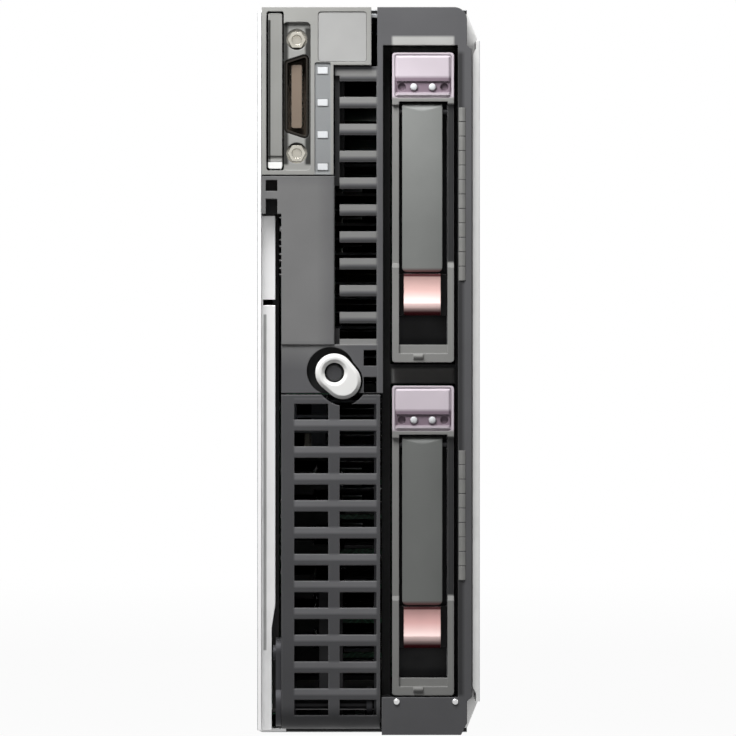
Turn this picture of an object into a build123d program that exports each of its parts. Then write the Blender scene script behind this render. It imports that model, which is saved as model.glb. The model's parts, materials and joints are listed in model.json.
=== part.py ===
from build123d import *
import os

# A half-height blade server. X runs across, Y from the bezel face back, Z up, all in millimetres.
# The last function moves every piece so that the origin is under the middle of the blade.

# Sheet steel and gaps
SHEET = 1.0
BEND_R = 1.2
SEAM = 0.3
PLAY = 0.4
SNUG = 0.05
PIN_FIT = 0.02
PIVOT_FIT = 0.06
SCREW_FIT = 0.1

# Drive bays, which set the height and the width of the blade
CARRIER_W = 15.4
CARRIER_H = 77.2
BAY_SHELF_H = 5.0
FOOT_BLOCK_H = 9.6
HEAD_BLOCK_H = 11.1
LEFT_ZONE_W = 33.25
RIGHT_MARGIN_W = 6.05
BAY_W = CARRIER_W + 2 * PLAY
BAY_H = CARRIER_H + 2 * PLAY
HEIGHT = FOOT_BLOCK_H + 2 * BAY_H + BAY_SHELF_H + HEAD_BLOCK_H
WIDTH = LEFT_ZONE_W + BAY_W + RIGHT_MARGIN_W
LEFT = -WIDTH / 2
RIGHT = WIDTH / 2
INNER_LEFT = LEFT + SHEET
INNER_RIGHT = RIGHT - SHEET
BAY_X0 = LEFT + LEFT_ZONE_W
BAY_X1 = BAY_X0 + BAY_W
BAY_FLOORS = [FOOT_BLOCK_H, FOOT_BLOCK_H + BAY_H + BAY_SHELF_H]
MID_Z = HEIGHT / 2

# Depths, measured back from the bezel face
KNOB_PROUD = 1.2
TAIL_OVERHANG = 12.0
BEZEL_DEPTH = 20.0
BEZEL_WALL = 2.4
WALL_FRONT = 4.0
TRAY_FRONT = BEZEL_DEPTH + SEAM
BEAD_PITCH = 52.0
BEAD_END = 30.0
BEAD_W = 8.0
BEAD_R = 3.9
BEAD_SINK = 0.3

# Bezel face
STEEL_CHANNEL_W = 6.05
BAY_WALL_W = 1.9
HEM_W = 1.8
HEM_DEPTH = 6.0
BEZEL_EDGE = 0.2
REVEAL_DEPTH = 12.0
REVEAL_LEFT = 1.9
REVEAL_RIGHT = 0.6
REVEAL_TOP = 1.4
HEAD_STEP = 1.0
HEAD_R = 3.2
FOOT_CUT = 1.5
SERVICE_H = 42.0
SERVICE_W = 27.3
SERVICE_STEP_H = 26.6
SERVICE_GROOVE = 1.5
CATCH_H = 9.7
CATCH_WALL = 1.0
CATCH_STEP = 4.0
CATCH_BAR = 2.0
CATCH_SINK = 5.0
CATCH_BACK = 8.0
FLANGE_SETBACK = 9.0
FLANGE_GAP = 1.6
FLANGE_NOTCH_DROP = 22.7
FLANGE_NOTCH_H = 1.4
BEZEL_X0 = INNER_LEFT + SEAM / 2
BEZEL_X1 = RIGHT - HEM_W - BEZEL_EDGE
BEZEL_TOP = HEIGHT - BEZEL_EDGE
PANEL_X0 = LEFT + STEEL_CHANNEL_W
LEVER_X0 = PANEL_X0
LEVER_X1 = BAY_X0 - BAY_WALL_W - SEAM - PLAY
SERVICE_Z0 = HEIGHT - SERVICE_H
SERVICE_X1 = BEZEL_X0 + SERVICE_W
CATCH_Z0 = SERVICE_Z0 - CATCH_H

# Vents share one pitch from the foot of the lever to the top of the bezel grille
VENT_FIRST_Z = 7.0
VENT_BAR_H = 2.8
GRILLE_DROP = 14.95
GRILLE_BROW = 2.3
LEVER_ROWS = 12
POD_ROWS = 2
BEZEL_ROWS = 10
GRILLE_TOP = HEIGHT - GRILLE_DROP
GRILLE_ROWS = LEVER_ROWS + POD_ROWS + BEZEL_ROWS
VENT_PITCH = (GRILLE_TOP - GRILLE_BROW - VENT_FIRST_Z) / (GRILLE_ROWS - 0.5)
VENT_H = VENT_PITCH - VENT_BAR_H
VENT_W = 9.2
VENT_FRAME_R = 0.9
VENT_FRAME_L = 3.2
VENT_BAR_W = 2.8
VENT_X1 = LEVER_X1 - VENT_FRAME_R
VENT_X0 = VENT_X1 - VENT_W
LEFT_VENT_X0 = LEVER_X0 + VENT_FRAME_L
LEFT_VENT_X1 = VENT_X0 - VENT_BAR_W
GRILLE_SETBACK = 1.4
GRILLE_EDGE = 1.2
GRILLE_GROOVE = 3.0
GRILLE_X0 = VENT_X0 - GRILLE_EDGE
POD_VENT_W = 3.2
LEVER_BROW = 0.9
LEVER_TOP = VENT_FIRST_Z + (LEVER_ROWS - 0.5) * VENT_PITCH + LEVER_BROW
POD_Z0 = LEVER_TOP + PLAY
POD_TOP = VENT_FIRST_Z + (LEVER_ROWS + POD_ROWS - 0.5) * VENT_PITCH
POD_SETBACK = 0.5
POD_RIB = 4.0

# Ring button on the pod, with the power button in its hole
RING_R = 4.75
RING_HOLE_R = 2.45
TAIL_R = 4.5
TAIL_DX = 2.1
TAIL_DZ = -2.1
RING_RISE = 5.1
RING_FROM_RIGHT = 11.4
RING_TRAVEL = 2.0
RING_THICK = 2.2
RING_EDGE = 0.8
RING_STEM_R = 3.4
RING_GAP = 0.5
DISH_DX = -0.9
DISH_DZ = 0.4
DISH_GROW = 1.25
NOTCH_GAP = 1.6
RECESS_DEPTH = 4.6
RECESS_FLOOR = 2.2
RING_X = LEVER_X1 - RING_FROM_RIGHT
RING_Z = POD_Z0 + RING_RISE
POWER_R = RING_HOLE_R - SEAM
POWER_TRAVEL = 1.2
POWER_SINK = 0.4
POWER_END_Y = 15.0
SWITCH_SIZE = 7.0
FRONT_BOARD_EDGE = 2.0
SWITCH_LIP = 1.6
SWITCH_R = 0.8
SWITCH_BORE_GAP = 0.15
SWITCH_Y = POWER_END_Y - SWITCH_LIP

# Release lever, hinged at its foot
LEVER_PLATE = 2.6
LEVER_LIP = 1.6
LEVER_FOOT_R = 6.0
LEVER_FOOT_Z = 1.5
CHEEK_T = 1.5
CHEEK_DEPTH = 10.0
PIVOT_R = 1.25
PIN_INSET = 0.2
EAR_R = 3.0
EAR_T = 1.5
BRACKET_L = 26.0
BRACKET_LEAD = 6.0
SPRING_W = 6.0
SPRING_T = 0.6
SPRING_RISE = 30.0
SPRING_BEND = 7.0
HOOK_T = 1.4
HOOK_H = 13.0
HOOK_POST = 0.7
HOOK_R = 3.8
HOOK_FOOT_R = 5.4
HOOK_BITE_R = 2.6
HOOK_CLEAR = 6.0
PIVOT_Y = LEVER_FOOT_R
PIVOT_Z = LEVER_FOOT_Z + LEVER_FOOT_R

# Label tab that slides out beside the console connector
TAB_W = 3.5
TAB_H = 38.8
TAB_INSET = 1.6
TAB_SETBACK = 0.4
TAB_GRIP_L = 6.0
CARD_T = 0.5
CARD_L = 60.0
CARD_MARGIN = 10.0
TAB_X0 = BEZEL_X0 + TAB_INSET
TAB_DROP = 1.5
TAB_R = 0.6
TAB_NOTCH_RISE = 2.2
TAB_NOTCH_H = 1.0
TAB_Z1 = BEZEL_TOP - TAB_DROP
TAB_Z0 = TAB_Z1 - TAB_H

# Console connector and its jackscrews
PORT_FROM_TAB = 7.1
PORT_W = 5.6
PORT_H = 21.0
PORT_SKIN = 0.5
PORT_SLANT = 72.0
PORT_R = 0.9
TONGUE_T = 2.6
TONGUE_L = 7.0
TONGUE_END = 1.6
TONGUE_SINK = 1.0
POCKET_EDGE = 0.7
POCKET_END = 2.0
POCKET_SINK = 1.2
JACK_SPACING = 28.3
JACK_HEX = 2.3
JACK_THREAD_R = 1.25
JACK_THREAD_L = 6.0
JACK_WALL = 0.55
JACK_END = 2.0
PORT_FRONT = 2.0
PORT_SINK = 4.0
PORT_RISE = 19.6
PORT_PLATE_Y = BEZEL_WALL + PORT_SINK
PORT_BACK = 34.0
PORT_X = TAB_X0 + PORT_FROM_TAB
PORT_Z = SERVICE_Z0 + PORT_RISE

# Status lamps
LAMP_COUNT = 4
LAMP_PITCH = 8.0
LAMP_W = 2.6
LAMP_H = 1.7
LAMP_FROM_PORT = 6.5
LAMP_FIRST_RISE = 2.0
LAMP_X = PORT_X + LAMP_FROM_PORT
PLATE_W = 12.0
PLATE_H = 12.4
PLATE_T = 0.8
PLATE_EDGE = 1.2
LAMP_SINK = 0.2
PIPE_W = 2.4
PIPE_T = 2.0
PIPE_BACK = 6.0
STRIP_SINK = 0.4
STRIP_END = 2.0
SERVICE_WALL = 0.8

# Drive carrier front
CARRIER_FACE = 0.8
FRAME_DEPTH = 12.0
FRAME_R = 0.8
RAIL_T = 3.0
RAIL_INSET = 0.8
RAIL_SETBACK = 1.0
SHOULDER_RISE = 0.8
FOOT_STEP = 0.7
FOOT_STEP_H = 2.2
BUMP_R = 0.7
BUMP_W = 2.4
BUMP_SHIFT = 1.2
WEB_T = 2.0
WEB_SINK = 0.5
WINDOW_MARGIN_L = 1.7
WINDOW_MARGIN_R = 1.6
WINDOW_FOOT = 4.4
LAMP_BLOCK_H = 10.6
LAMP_BLOCK_T = 1.6
LAMP_SILL = 1.6
LAMP_BLOCK_EDGE = 0.7
LAMP_BLOCK_DROP = 0.6
LAMP_PROUD = 0.3
LAMP_ROW_RISE = 2.6
LAMP_ROW_H = 2.8
LAMP_ROW_W = 13.2
LAMP_ROW_SINK = 0.5
LAMP_REACH = 2.3
HOLE_REACH = 5.3
HOLE_R = 1.0
DRIVE_BUTTON_H = 10.4
DRIVE_BUTTON_RISE = 7.3
DRIVE_BUTTON_TRAVEL = 1.5
STEM_W = 5.0
STEM_H = 4.0
STEM_RISE = 4.2
SCOOP = 1.1
LIP_R = 3.0
HANDLE_W = 10.0
HANDLE_T = 2.0
HANDLE_BARREL_R = 2.1
HANDLE_INSET = 0.8
HANDLE_CROWN = 0.5
HANDLE_PIN_R = 0.8
HANDLE_PIN_END = 0.7
HANDLE_R = 1.2
CARRIER_X0 = BAY_X0 + PLAY
CARRIER_X1 = CARRIER_X0 + CARRIER_W
WINDOW_X0 = CARRIER_X0 + WINDOW_MARGIN_L
WINDOW_X1 = CARRIER_X1 - WINDOW_MARGIN_R
HANDLE_X0 = WINDOW_X0 + HANDLE_INSET
HANDLE_X1 = HANDLE_X0 + HANDLE_W
HANDLE_Y = CARRIER_FACE + PLAY
HANDLE_PIN_Y = HANDLE_Y + HANDLE_BARREL_R
BUTTON_BASE = WINDOW_FOOT + DRIVE_BUTTON_RISE
BUTTON_TOP = BUTTON_BASE + DRIVE_BUTTON_H
WINDOW_TOP = CARRIER_H - LAMP_BLOCK_H - LAMP_SILL
HANDLE_PIN_RISE = WINDOW_TOP - HANDLE_BARREL_R - PLAY
FRAME_BACK = CARRIER_FACE + FRAME_DEPTH

# Disk, backplane and drive cage
DISK_L = 100.0
DISK_SIDE_GAP = 0.4
DISK_INSET = 0.5
DISK_R = 0.8
LID_T = 0.6
LID_EDGE = 3.0
LID_R = 4.0
DISK_Y0 = FRAME_BACK + SEAM
DISK_Y1 = DISK_Y0 + DISK_L
PLUG_L = 2.0
PLUG_X = 2.0
PLUG_W = 3.5
PLUG_Z = 5.0
PLUG_H = 36.0
SOCKET_L = 6.0
SOCKET_WALL = 0.8
BACKPLANE_T = 1.6
BACKPLANE_Y = DISK_Y1 + PLUG_L + SEAM + SOCKET_L
CAGE_FOOT_W = 8.0
CAGE_SCREW_FRONT = 10.0
CAGE_SCREW_REAR = 14.0
AIR_SHARES = (0.3, 0.7)
AIR_W = 28.0
AIR_MARGIN = 14.0
AIR_R = 4.0
CAGE_REAR = BACKPLANE_Y

# System board
STANDOFF_H = 2.6
BOARD_T = 1.6
BOARD_EDGE = 3.0
BOARD_R = 2.0
BOARD_FRONT = BEZEL_DEPTH + BOARD_EDGE
BOARD_REAR_GAP = 14.0
BOARD_X0 = INNER_LEFT + STANDOFF_H
BOARD_X1 = BOARD_X0 + BOARD_T
BOARD_Z0 = SHEET + BOARD_EDGE
BOARD_Z1 = HEIGHT - SHEET - BOARD_EDGE
SCREW_R = 1.4
SCREW_HEAD_R = 2.6
SCREW_HEAD_H = 1.6
POST_R = 3.2
BOARD_SCREW_EDGE = 4.0
BOARD_SCREW_SHIFT = 10.0
SINK_SCREW_EDGE = 5.0

# Processors, heatsinks and memory
SOCKET_SIZE = 50.0
SOCKET_H = 4.0
CPU_SIZE = 42.0
CPU_H = 3.2
CPU_R = 1.0
CPU_RIM = 4.0
SINK_L = 90.0
SINK_W = 80.0
SINK_BASE = 4.0
SINK_H = 36.0
FIN_T = 0.8
FIN_COUNT = 21
MODULE_L = 133.3
MODULE_H = 30.0
MODULE_T = 1.3
MODULE_COUNT = 6
MODULE_PITCH = 9.2
HOLDER_LATCH_L = 4.35
HOLDER_L = MODULE_L + 2 * HOLDER_LATCH_L
HOLDER_W = 6.4
HOLDER_H = 8.0
LATCH_H = 15.0
LATCH_W = 4.0
LATCH_GIVE = 1.0
MODULE_CHIPS = 8
MODULE_CHIP_W = 11.0
MODULE_CHIP_L = 10.0
MODULE_CHIP_H = 1.1
MODULE_CHIP_RISE = 0.62
SEAT_H = 3.0
BAFFLE_GAP = 2.4
BAFFLE_T = 1.2
BAFFLE_END = 12.0
BANK_GAP = 6.0
BANK_EDGE = 8.0
ROW_GAP = 8.0
CAN_COUNT = 4
CAN_PITCH = 13.0
CAN_R = 4.0
CAN_H = 9.0
CAN_GAP = 7.0
CHIPSET_INSET = 52.0
CHIPSET_Y = BOARD_FRONT + CHIPSET_INSET
CHIPSET_W = 32.0
CHIPSET_L = 34.0
CHIPSET_H = 12.0
CHIPSET_FINS = 9
CHIP_INSET = 26.0
CHIP_Y = BOARD_FRONT + CHIP_INSET
CHIP_EDGE = 22.0
CHIP_SIZE = 16.0
CHIP_R = 0.6
CHIP_H = 1.6
CELL_INSET = 34.0
CELL_Y = BOARD_FRONT + CELL_INSET
CELL_RISE = 4.0
CELL_R = 10.0
CELL_T = 3.2
CELL_WALL = 2.0
CELL_SEAT = 1.2
CELL_CUP_H = 4.0
ROW_1_Y = BACKPLANE_Y + BACKPLANE_T + ROW_GAP
ROW_2_Y = ROW_1_Y + HOLDER_L + BANK_GAP
BANK_W = (MODULE_COUNT - 1) * MODULE_PITCH + HOLDER_W
BANK_1_Z = BOARD_Z0 + BANK_EDGE
BANK_2_Z = BOARD_Z1 - BANK_EDGE - BANK_W
SINK_1_Z = BANK_1_Z + BANK_W + BANK_GAP + SINK_W / 2
SINK_2_Z = BANK_2_Z - BANK_GAP - SINK_W / 2
CPU_PLACES = [(ROW_1_Y + HOLDER_L / 2, SINK_1_Z), (ROW_2_Y + HOLDER_L / 2, SINK_2_Z)]
BANK_PLACES = [(ROW_1_Y, BANK_1_Z), (ROW_2_Y, BANK_2_Z)]
SINK_X0 = BOARD_X1 + SOCKET_H + CPU_H

# Rear connectors and mezzanine cards
MEZZ_H = 10.0
MEZZ_L = 57.0
MEZZ_EDGE = 3.0
MEZZ_APART = 11.7
MEZZ_GAP = 2.0
MEZZ_INSET = 12.0
MEZZ_SINK_Z = 24.0
MEZZ_SINK_W = 30.0
MEZZ_SINK_H = 9.0
MEZZ_SINK_BASE = 3.0
MEZZ_SINK_END = 8.0
MEZZ_FINS = 8
STACK_Y = 6.0
STACK_W = 8.0
BOARD_TAIL = 4.0
MEZZ_W = (BOARD_Z1 - BOARD_Z0 - MEZZ_APART) / 2 - MEZZ_EDGE
MEZZ_Y0 = ROW_2_Y + HOLDER_L + MEZZ_GAP
MEZZ_Y1 = MEZZ_Y0 + MEZZ_L
BOARD_Y1 = MEZZ_Y1 + BOARD_TAIL
TRAY_REAR = BOARD_Y1 + BOARD_REAR_GAP
FACE_TO_TAIL = TRAY_REAR + TAIL_OVERHANG
MID_Y = (FACE_TO_TAIL - KNOB_PROUD) / 2
SIGNAL_H = 76.0
POWER_H = 34.0
TAIL_W = 16.0
SIGNAL_DROP = 12.0
POWER_RISE = 22.0
SIGNAL_Z0 = MID_Z - SIGNAL_DROP
POWER_Z0 = BOARD_Z0 + POWER_RISE
TAIL_LEAD = 20.0
TAIL_SEAT = 2.0
CONTACT_EDGE = 1.8
CONTACT_SHARE = 0.66
CONTACT_DEPTH = 8.0
SIGNAL_ROWS = 12
SIGNAL_COLUMNS = 3
POWER_ROWS = 3
POWER_COLUMNS = 2
COLLAR_W = 1.2
COLLAR_T = 1.5
REAR_MARGIN = 15.0
TAIL_X1 = BOARD_X1 + TAIL_W
GUIDE_R = 3.0
GUIDE_BODY = 5.5
SIGNAL_TOP = SIGNAL_Z0 + SIGNAL_H + 2 * GUIDE_BODY

# Side cover and access panel on the right side
CORNER_X = 3.0
CORNER_Z = 8.4
LATCH_R = 7.0
LATCH_TRAVEL = 2.5
LATCH_STEM_R = 2.0
STRAP_GAP = 6.0
STRAP_W = 8.0
STRAP_REACH = 2.0
LATCH_GAP = 4.0
SPLIT_GAP = 8.0
LATCH_Y = BACKPLANE_Y + BACKPLANE_T + LATCH_R + LATCH_GAP
PANEL_SPLIT = LATCH_Y + LATCH_R + SPLIT_GAP
FLANGE_W = 8.0
ROOF_X1 = RIGHT - CORNER_X
FLANGE_X0 = ROOF_X1 - FLANGE_W
COUNTERSINK_R = 2.6
FIELD_SINK = 0.3
FIELD_MARGIN_Y = 60.0
FIELD_H = 90.0
GRIP_L = 70.0
GRIP_W = 20.0
GRIP_Y = 24.0
GRIP_SINK = 0.5
FIELD_R = 4.0


def rect(a0, a1, b0, b1, radius=0.0):
    """Rectangle between two corners of a sketch, rounded if a radius is given."""
    middle = Pos((a0 + a1) / 2, (b0 + b1) / 2)
    if radius:
        return middle * RectangleRounded(a1 - a0, b1 - b0, radius)
    return middle * Rectangle(a1 - a0, b1 - b0)


def from_front(sketch, y0, y1):
    """Sketch seen from the front, extruded from depth y0 back to y1."""
    return extrude(Plane.XZ.offset(-y0) * sketch, amount=y0 - y1)


def from_side(sketch, x0, x1):
    """Sketch with Y across and Z up, extruded from x0 to x1."""
    return extrude(Plane.YZ.offset(x0) * sketch, amount=x1 - x0)


def from_above(sketch, z0, z1):
    """Sketch with X across and Y up the page, extruded from z0 to z1."""
    return extrude(Plane.XY.offset(z0) * sketch, amount=z1 - z0)


def block(x0, x1, y0, y1, z0, z1):
    """Box between two corners."""
    return from_front(rect(x0, x1, z0, z1), y0, y1)


def disc(a, b, radius):
    """Circle in a sketch, moved to its centre."""
    return Pos(a, b) * Circle(radius)


def group(shapes):
    """Separate solids kept together as one piece."""
    return Compound(children=list(shapes))


def teardrop(grow=0.0):
    """Outline of the ring button: the ring and its tail, grown by a clearance."""
    ring = disc(RING_X, RING_Z, RING_R + grow)
    tail = disc(RING_X + TAIL_DX, RING_Z + TAIL_DZ, TAIL_R + grow)
    return make_hull(ring.edges() + tail.edges())


def vent_rows(x0, x1, first_row, count):
    """Column of vent slots between two sides, counted from the lowest row of the face."""
    slots = Sketch()
    for row in range(first_row, first_row + count):
        z = VENT_FIRST_Z + row * VENT_PITCH
        slots += rect(x0, x1, z - VENT_H / 2, z + VENT_H / 2)
    return slots


def countersunk(x, y, z, up, grow=0.0):
    """Flat-headed screw along Z, its head flush with the face at z; up is 1 for a face that looks up."""
    head_r = COUNTERSINK_R + grow
    head = Cone(head_r, SCREW_R + grow, SHEET, align=(Align.CENTER, Align.CENTER, Align.MIN))
    shank = Cylinder(SCREW_R + grow, 4 * SHEET, align=(Align.CENTER, Align.CENTER, Align.MIN))
    screw = head + shank
    if up > 0:
        screw = Rot(180, 0, 0) * screw
    return Pos(x, y, z) * screw


def chassis_screw_places():
    """Places of the flat-headed screws in the floor and roof."""
    cage_x = BAY_X0 - SHEET - CAGE_FOOT_W / 2
    cover_x = ROOF_X1 - FLANGE_W / 2
    places = []
    for y in (TRAY_FRONT + BRACKET_L + CAGE_SCREW_FRONT, CAGE_REAR - CAGE_SCREW_REAR):
        for x in (cage_x, cover_x):
            places.append((x, y))
    return places


def chassis_screws(grow=0.0):
    """Flat-headed screws that hold the cage and the side cover in the tray."""
    screws = []
    for x, y in chassis_screw_places():
        screws.append(countersunk(x, y, 0.0, -1, grow))
        screws.append(countersunk(x, y, HEIGHT, 1, grow))
    return screws


def board_screw_places():
    """Places where the system board is screwed to its standoffs."""
    ys = [BOARD_FRONT + 2 * BOARD_SCREW_EDGE, (BOARD_FRONT + ROW_1_Y) / 2 + BOARD_SCREW_SHIFT,
          ROW_2_Y - BANK_GAP / 2, BOARD_Y1 - 1.5 * BOARD_SCREW_EDGE]
    zs = [BOARD_Z0 + BOARD_SCREW_EDGE, BOARD_Z1 - BOARD_SCREW_EDGE]
    return [(y, z) for y in ys for z in zs]


def sink_screw_places():
    """Corner screws of both heatsinks."""
    reach_y = SINK_L / 2 - SINK_SCREW_EDGE
    reach_z = SINK_W / 2 - SINK_SCREW_EDGE
    return [(y + a * reach_y, z + b * reach_z) for y, z in CPU_PLACES for a in (-1, 1) for b in (-1, 1)]


def flange_outline():
    """Front flange of the tray: wide beside the lever, narrow at its foot to clear the hook, with a notch."""
    wide_x = LEVER_X0 - FLANGE_GAP
    narrow_x = LEVER_X0 - HOOK_T - HOOK_POST - PLAY
    shoulder = PIVOT_Z + HOOK_H + HOOK_CLEAR
    top = CATCH_Z0 - SEAM
    points = [(LEFT, SHEET), (narrow_x, SHEET), (narrow_x, shoulder),
              (wide_x, shoulder + HOOK_CLEAR), (wide_x, top),
              (LEFT, top)]
    notch_z = CATCH_Z0 - FLANGE_NOTCH_DROP
    notch = rect(INNER_LEFT + PLAY, wide_x, notch_z, notch_z + FLANGE_NOTCH_H)
    return make_face(Polyline(*points, close=True)) - notch


def chassis_tray():
    """Tray folded from one sheet: left wall, floor and roof, with a front flange beside the lever."""
    section = rect(LEFT, ROOF_X1, 0, HEIGHT)
    section -= rect(INNER_LEFT, RIGHT, SHEET, HEIGHT - SHEET)
    tray = from_front(section, TRAY_FRONT, TRAY_REAR)
    bends = tray.edges().filter_by(Axis.Y).group_by(Axis.X)[0]
    tray = fillet(bends, BEND_R)
    tray += block(LEFT, INNER_LEFT, WALL_FRONT, TRAY_FRONT, BEND_R, HEIGHT - BEND_R)
    tray += from_front(flange_outline(), FLANGE_SETBACK, FLANGE_SETBACK + SHEET)
    beads = Sketch()
    for z in (MID_Z - BEAD_PITCH, MID_Z, MID_Z + BEAD_PITCH):
        beads += rect(TRAY_FRONT + BEAD_END, TRAY_REAR - BEAD_END, z - BEAD_W / 2, z + BEAD_W / 2, BEAD_R)
    tray -= from_side(beads, LEFT - SHEET, LEFT + BEAD_SINK)
    for hole in chassis_screws(SNUG):
        tray -= hole
    return tray


def side_outline(gap=0.0):
    """Outer outline of the right side, slanted at its upper and lower corners."""
    low = SHEET + gap
    high = HEIGHT - SHEET - gap
    points = [(FLANGE_X0, low), (ROOF_X1, low), (RIGHT, CORNER_Z),
              (RIGHT, HEIGHT - CORNER_Z), (ROOF_X1, high),
              (FLANGE_X0, high)]
    return make_face(Polyline(*points, close=True))


def side_section(gap=0.0):
    """Folded sheet along the right side: a wall, two slants and two flanges inside the tray."""
    solid = side_outline(gap)
    return solid - Pos(-SHEET, 0) * (side_outline(gap + SHEET) + rect(INNER_LEFT, ROOF_X1, 2 * SHEET + gap,
                                                                      HEIGHT - 2 * SHEET - gap))


def front_side_cover():
    """Fixed cover on the right of the drive cage, hemmed along its front edge."""
    cover = from_front(side_section(), TRAY_FRONT + SEAM, PANEL_SPLIT)
    cover += block(INNER_RIGHT, RIGHT, WALL_FRONT, TRAY_FRONT + 1.0, CORNER_Z, HEIGHT - CORNER_Z)
    hem = [(RIGHT, CORNER_Z), (RIGHT - HEM_W, CORNER_Z + 2 * HEM_W),
           (RIGHT - HEM_W, HEIGHT - CORNER_Z - 2 * HEM_W),
           (RIGHT, HEIGHT - CORNER_Z)]
    cover += from_front(make_face(Polyline(*hem, close=True)), WALL_FRONT, WALL_FRONT + HEM_DEPTH)
    closure = side_outline() & rect(BAY_X1 + SHEET + PLAY, RIGHT, 0, HEIGHT)
    cover += from_front(closure, TRAY_FRONT + SEAM, TRAY_FRONT + SEAM + SHEET)
    cover -= from_side(disc(LATCH_Y, MID_Z, LATCH_R), INNER_RIGHT - SHEET, RIGHT + SHEET)
    strap_x = INNER_RIGHT - STRAP_GAP
    reach = LATCH_R + STRAP_REACH
    strap = rect(strap_x, RIGHT - SHEET / 2, LATCH_Y - reach, LATCH_Y + reach)
    strap -= rect(strap_x + SHEET, RIGHT, LATCH_Y - reach + SHEET, LATCH_Y + reach - SHEET)
    cover += from_above(strap, MID_Z - STRAP_W / 2, MID_Z + STRAP_W / 2)
    cover -= from_side(disc(LATCH_Y, MID_Z, LATCH_STEM_R + PLAY), strap_x - 1, strap_x + SHEET + 1)
    for hole in chassis_screws(SNUG):
        cover -= hole
    return cover


def rear_panel():
    """Perforated rear wall with openings for the two tail connectors, closing the end of the right side."""
    wall = rect(INNER_LEFT, ROOF_X1, SHEET, HEIGHT - SHEET) + side_outline()
    for z0, z1 in ((POWER_Z0, POWER_Z0 + POWER_H), (SIGNAL_Z0, SIGNAL_TOP)):
        wall -= rect(BOARD_X1 - SEAM, TAIL_X1 + SEAM, z0 - SEAM, z1 + SEAM)
    rows = int((HEIGHT - 2 * REAR_MARGIN) / VENT_PITCH)
    for row in range(rows):
        z = MID_Z + (row - (rows - 1) / 2) * VENT_PITCH
        wall -= rect(BAY_X0, BAY_X1 - SHEET, z - VENT_H / 2, z + VENT_H / 2)
    return from_front(wall, TRAY_REAR - SHEET, TRAY_REAR)


def drive_cage():
    """Two bays one above the other, with a full-height left wall that stands in the tray."""
    section = rect(BAY_X0 - SHEET, BAY_X1 + SHEET, FOOT_BLOCK_H - SHEET, HEIGHT - HEAD_BLOCK_H + SHEET)
    section += rect(BAY_X0 - SHEET, BAY_X0, SHEET, HEIGHT - SHEET)
    section += rect(BAY_X0 - SHEET - CAGE_FOOT_W, BAY_X0, SHEET, 2 * SHEET)
    section += rect(BAY_X0 - SHEET - CAGE_FOOT_W, BAY_X0, HEIGHT - 2 * SHEET, HEIGHT - SHEET)
    for floor in BAY_FLOORS:
        section -= rect(BAY_X0, BAY_X1, floor, floor + BAY_H)
    shelf = BAY_FLOORS[0] + BAY_H
    section -= rect(BAY_X0 + SHEET, BAY_X1 - SHEET, shelf + SHEET, shelf + BAY_SHELF_H - SHEET)
    cage = from_front(section, TRAY_FRONT, CAGE_REAR)
    air = Sketch()
    for floor in BAY_FLOORS:
        for share in AIR_SHARES:
            y0 = TRAY_FRONT + share * (CAGE_REAR - TRAY_FRONT) - AIR_W / 2
            air += rect(y0, y0 + AIR_W, floor + AIR_MARGIN, floor + BAY_H - AIR_MARGIN, AIR_R)
    cage -= from_side(air, BAY_X0 - 2 * SHEET, BAY_X0 + SHEET)
    foot_x0 = BAY_X0 - SHEET - CAGE_FOOT_W
    cage -= block(foot_x0 - 1, BAY_X0 - SHEET, TRAY_FRONT - 1, TRAY_FRONT + BRACKET_L + SEAM,
                  SHEET, 2 * SHEET)
    for hole in chassis_screws(SNUG):
        cage -= hole
    return cage


def bezel_outline():
    """Outline of the main bezel, around the lever below and the service panel above."""
    x_lever = LEVER_X1 + PLAY
    groove_x = SERVICE_X1 + SERVICE_GROOVE
    head_x = ROOF_X1 - BEZEL_EDGE
    points = [
        (x_lever, BEZEL_EDGE),
        (head_x - FOOT_CUT, BEZEL_EDGE),
        (head_x, BEZEL_EDGE + 2 * FOOT_CUT),
        (head_x, FOOT_BLOCK_H - HEAD_STEP),
        (BEZEL_X1, FOOT_BLOCK_H),
        (BEZEL_X1, HEIGHT - HEAD_BLOCK_H + REVEAL_TOP - HEAD_STEP),
        (head_x, HEIGHT - HEAD_BLOCK_H + REVEAL_TOP),
        (head_x, BEZEL_TOP),
        (groove_x, BEZEL_TOP),
        (groove_x, GRILLE_TOP),
        (GRILLE_X0, GRILLE_TOP),
        (GRILLE_X0, SERVICE_Z0 - SEAM),
        (BEZEL_X0, SERVICE_Z0 - SEAM),
        (BEZEL_X0, CATCH_Z0),
        (PANEL_X0, CATCH_Z0),
        (PANEL_X0, POD_Z0),
        (x_lever, POD_Z0),
    ]
    outline = make_face(Polyline(*points, close=True))
    corner = outline.vertices().group_by(Axis.Y)[-1].sort_by(Axis.X)[-1]
    return fillet(corner, HEAD_R)


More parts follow.
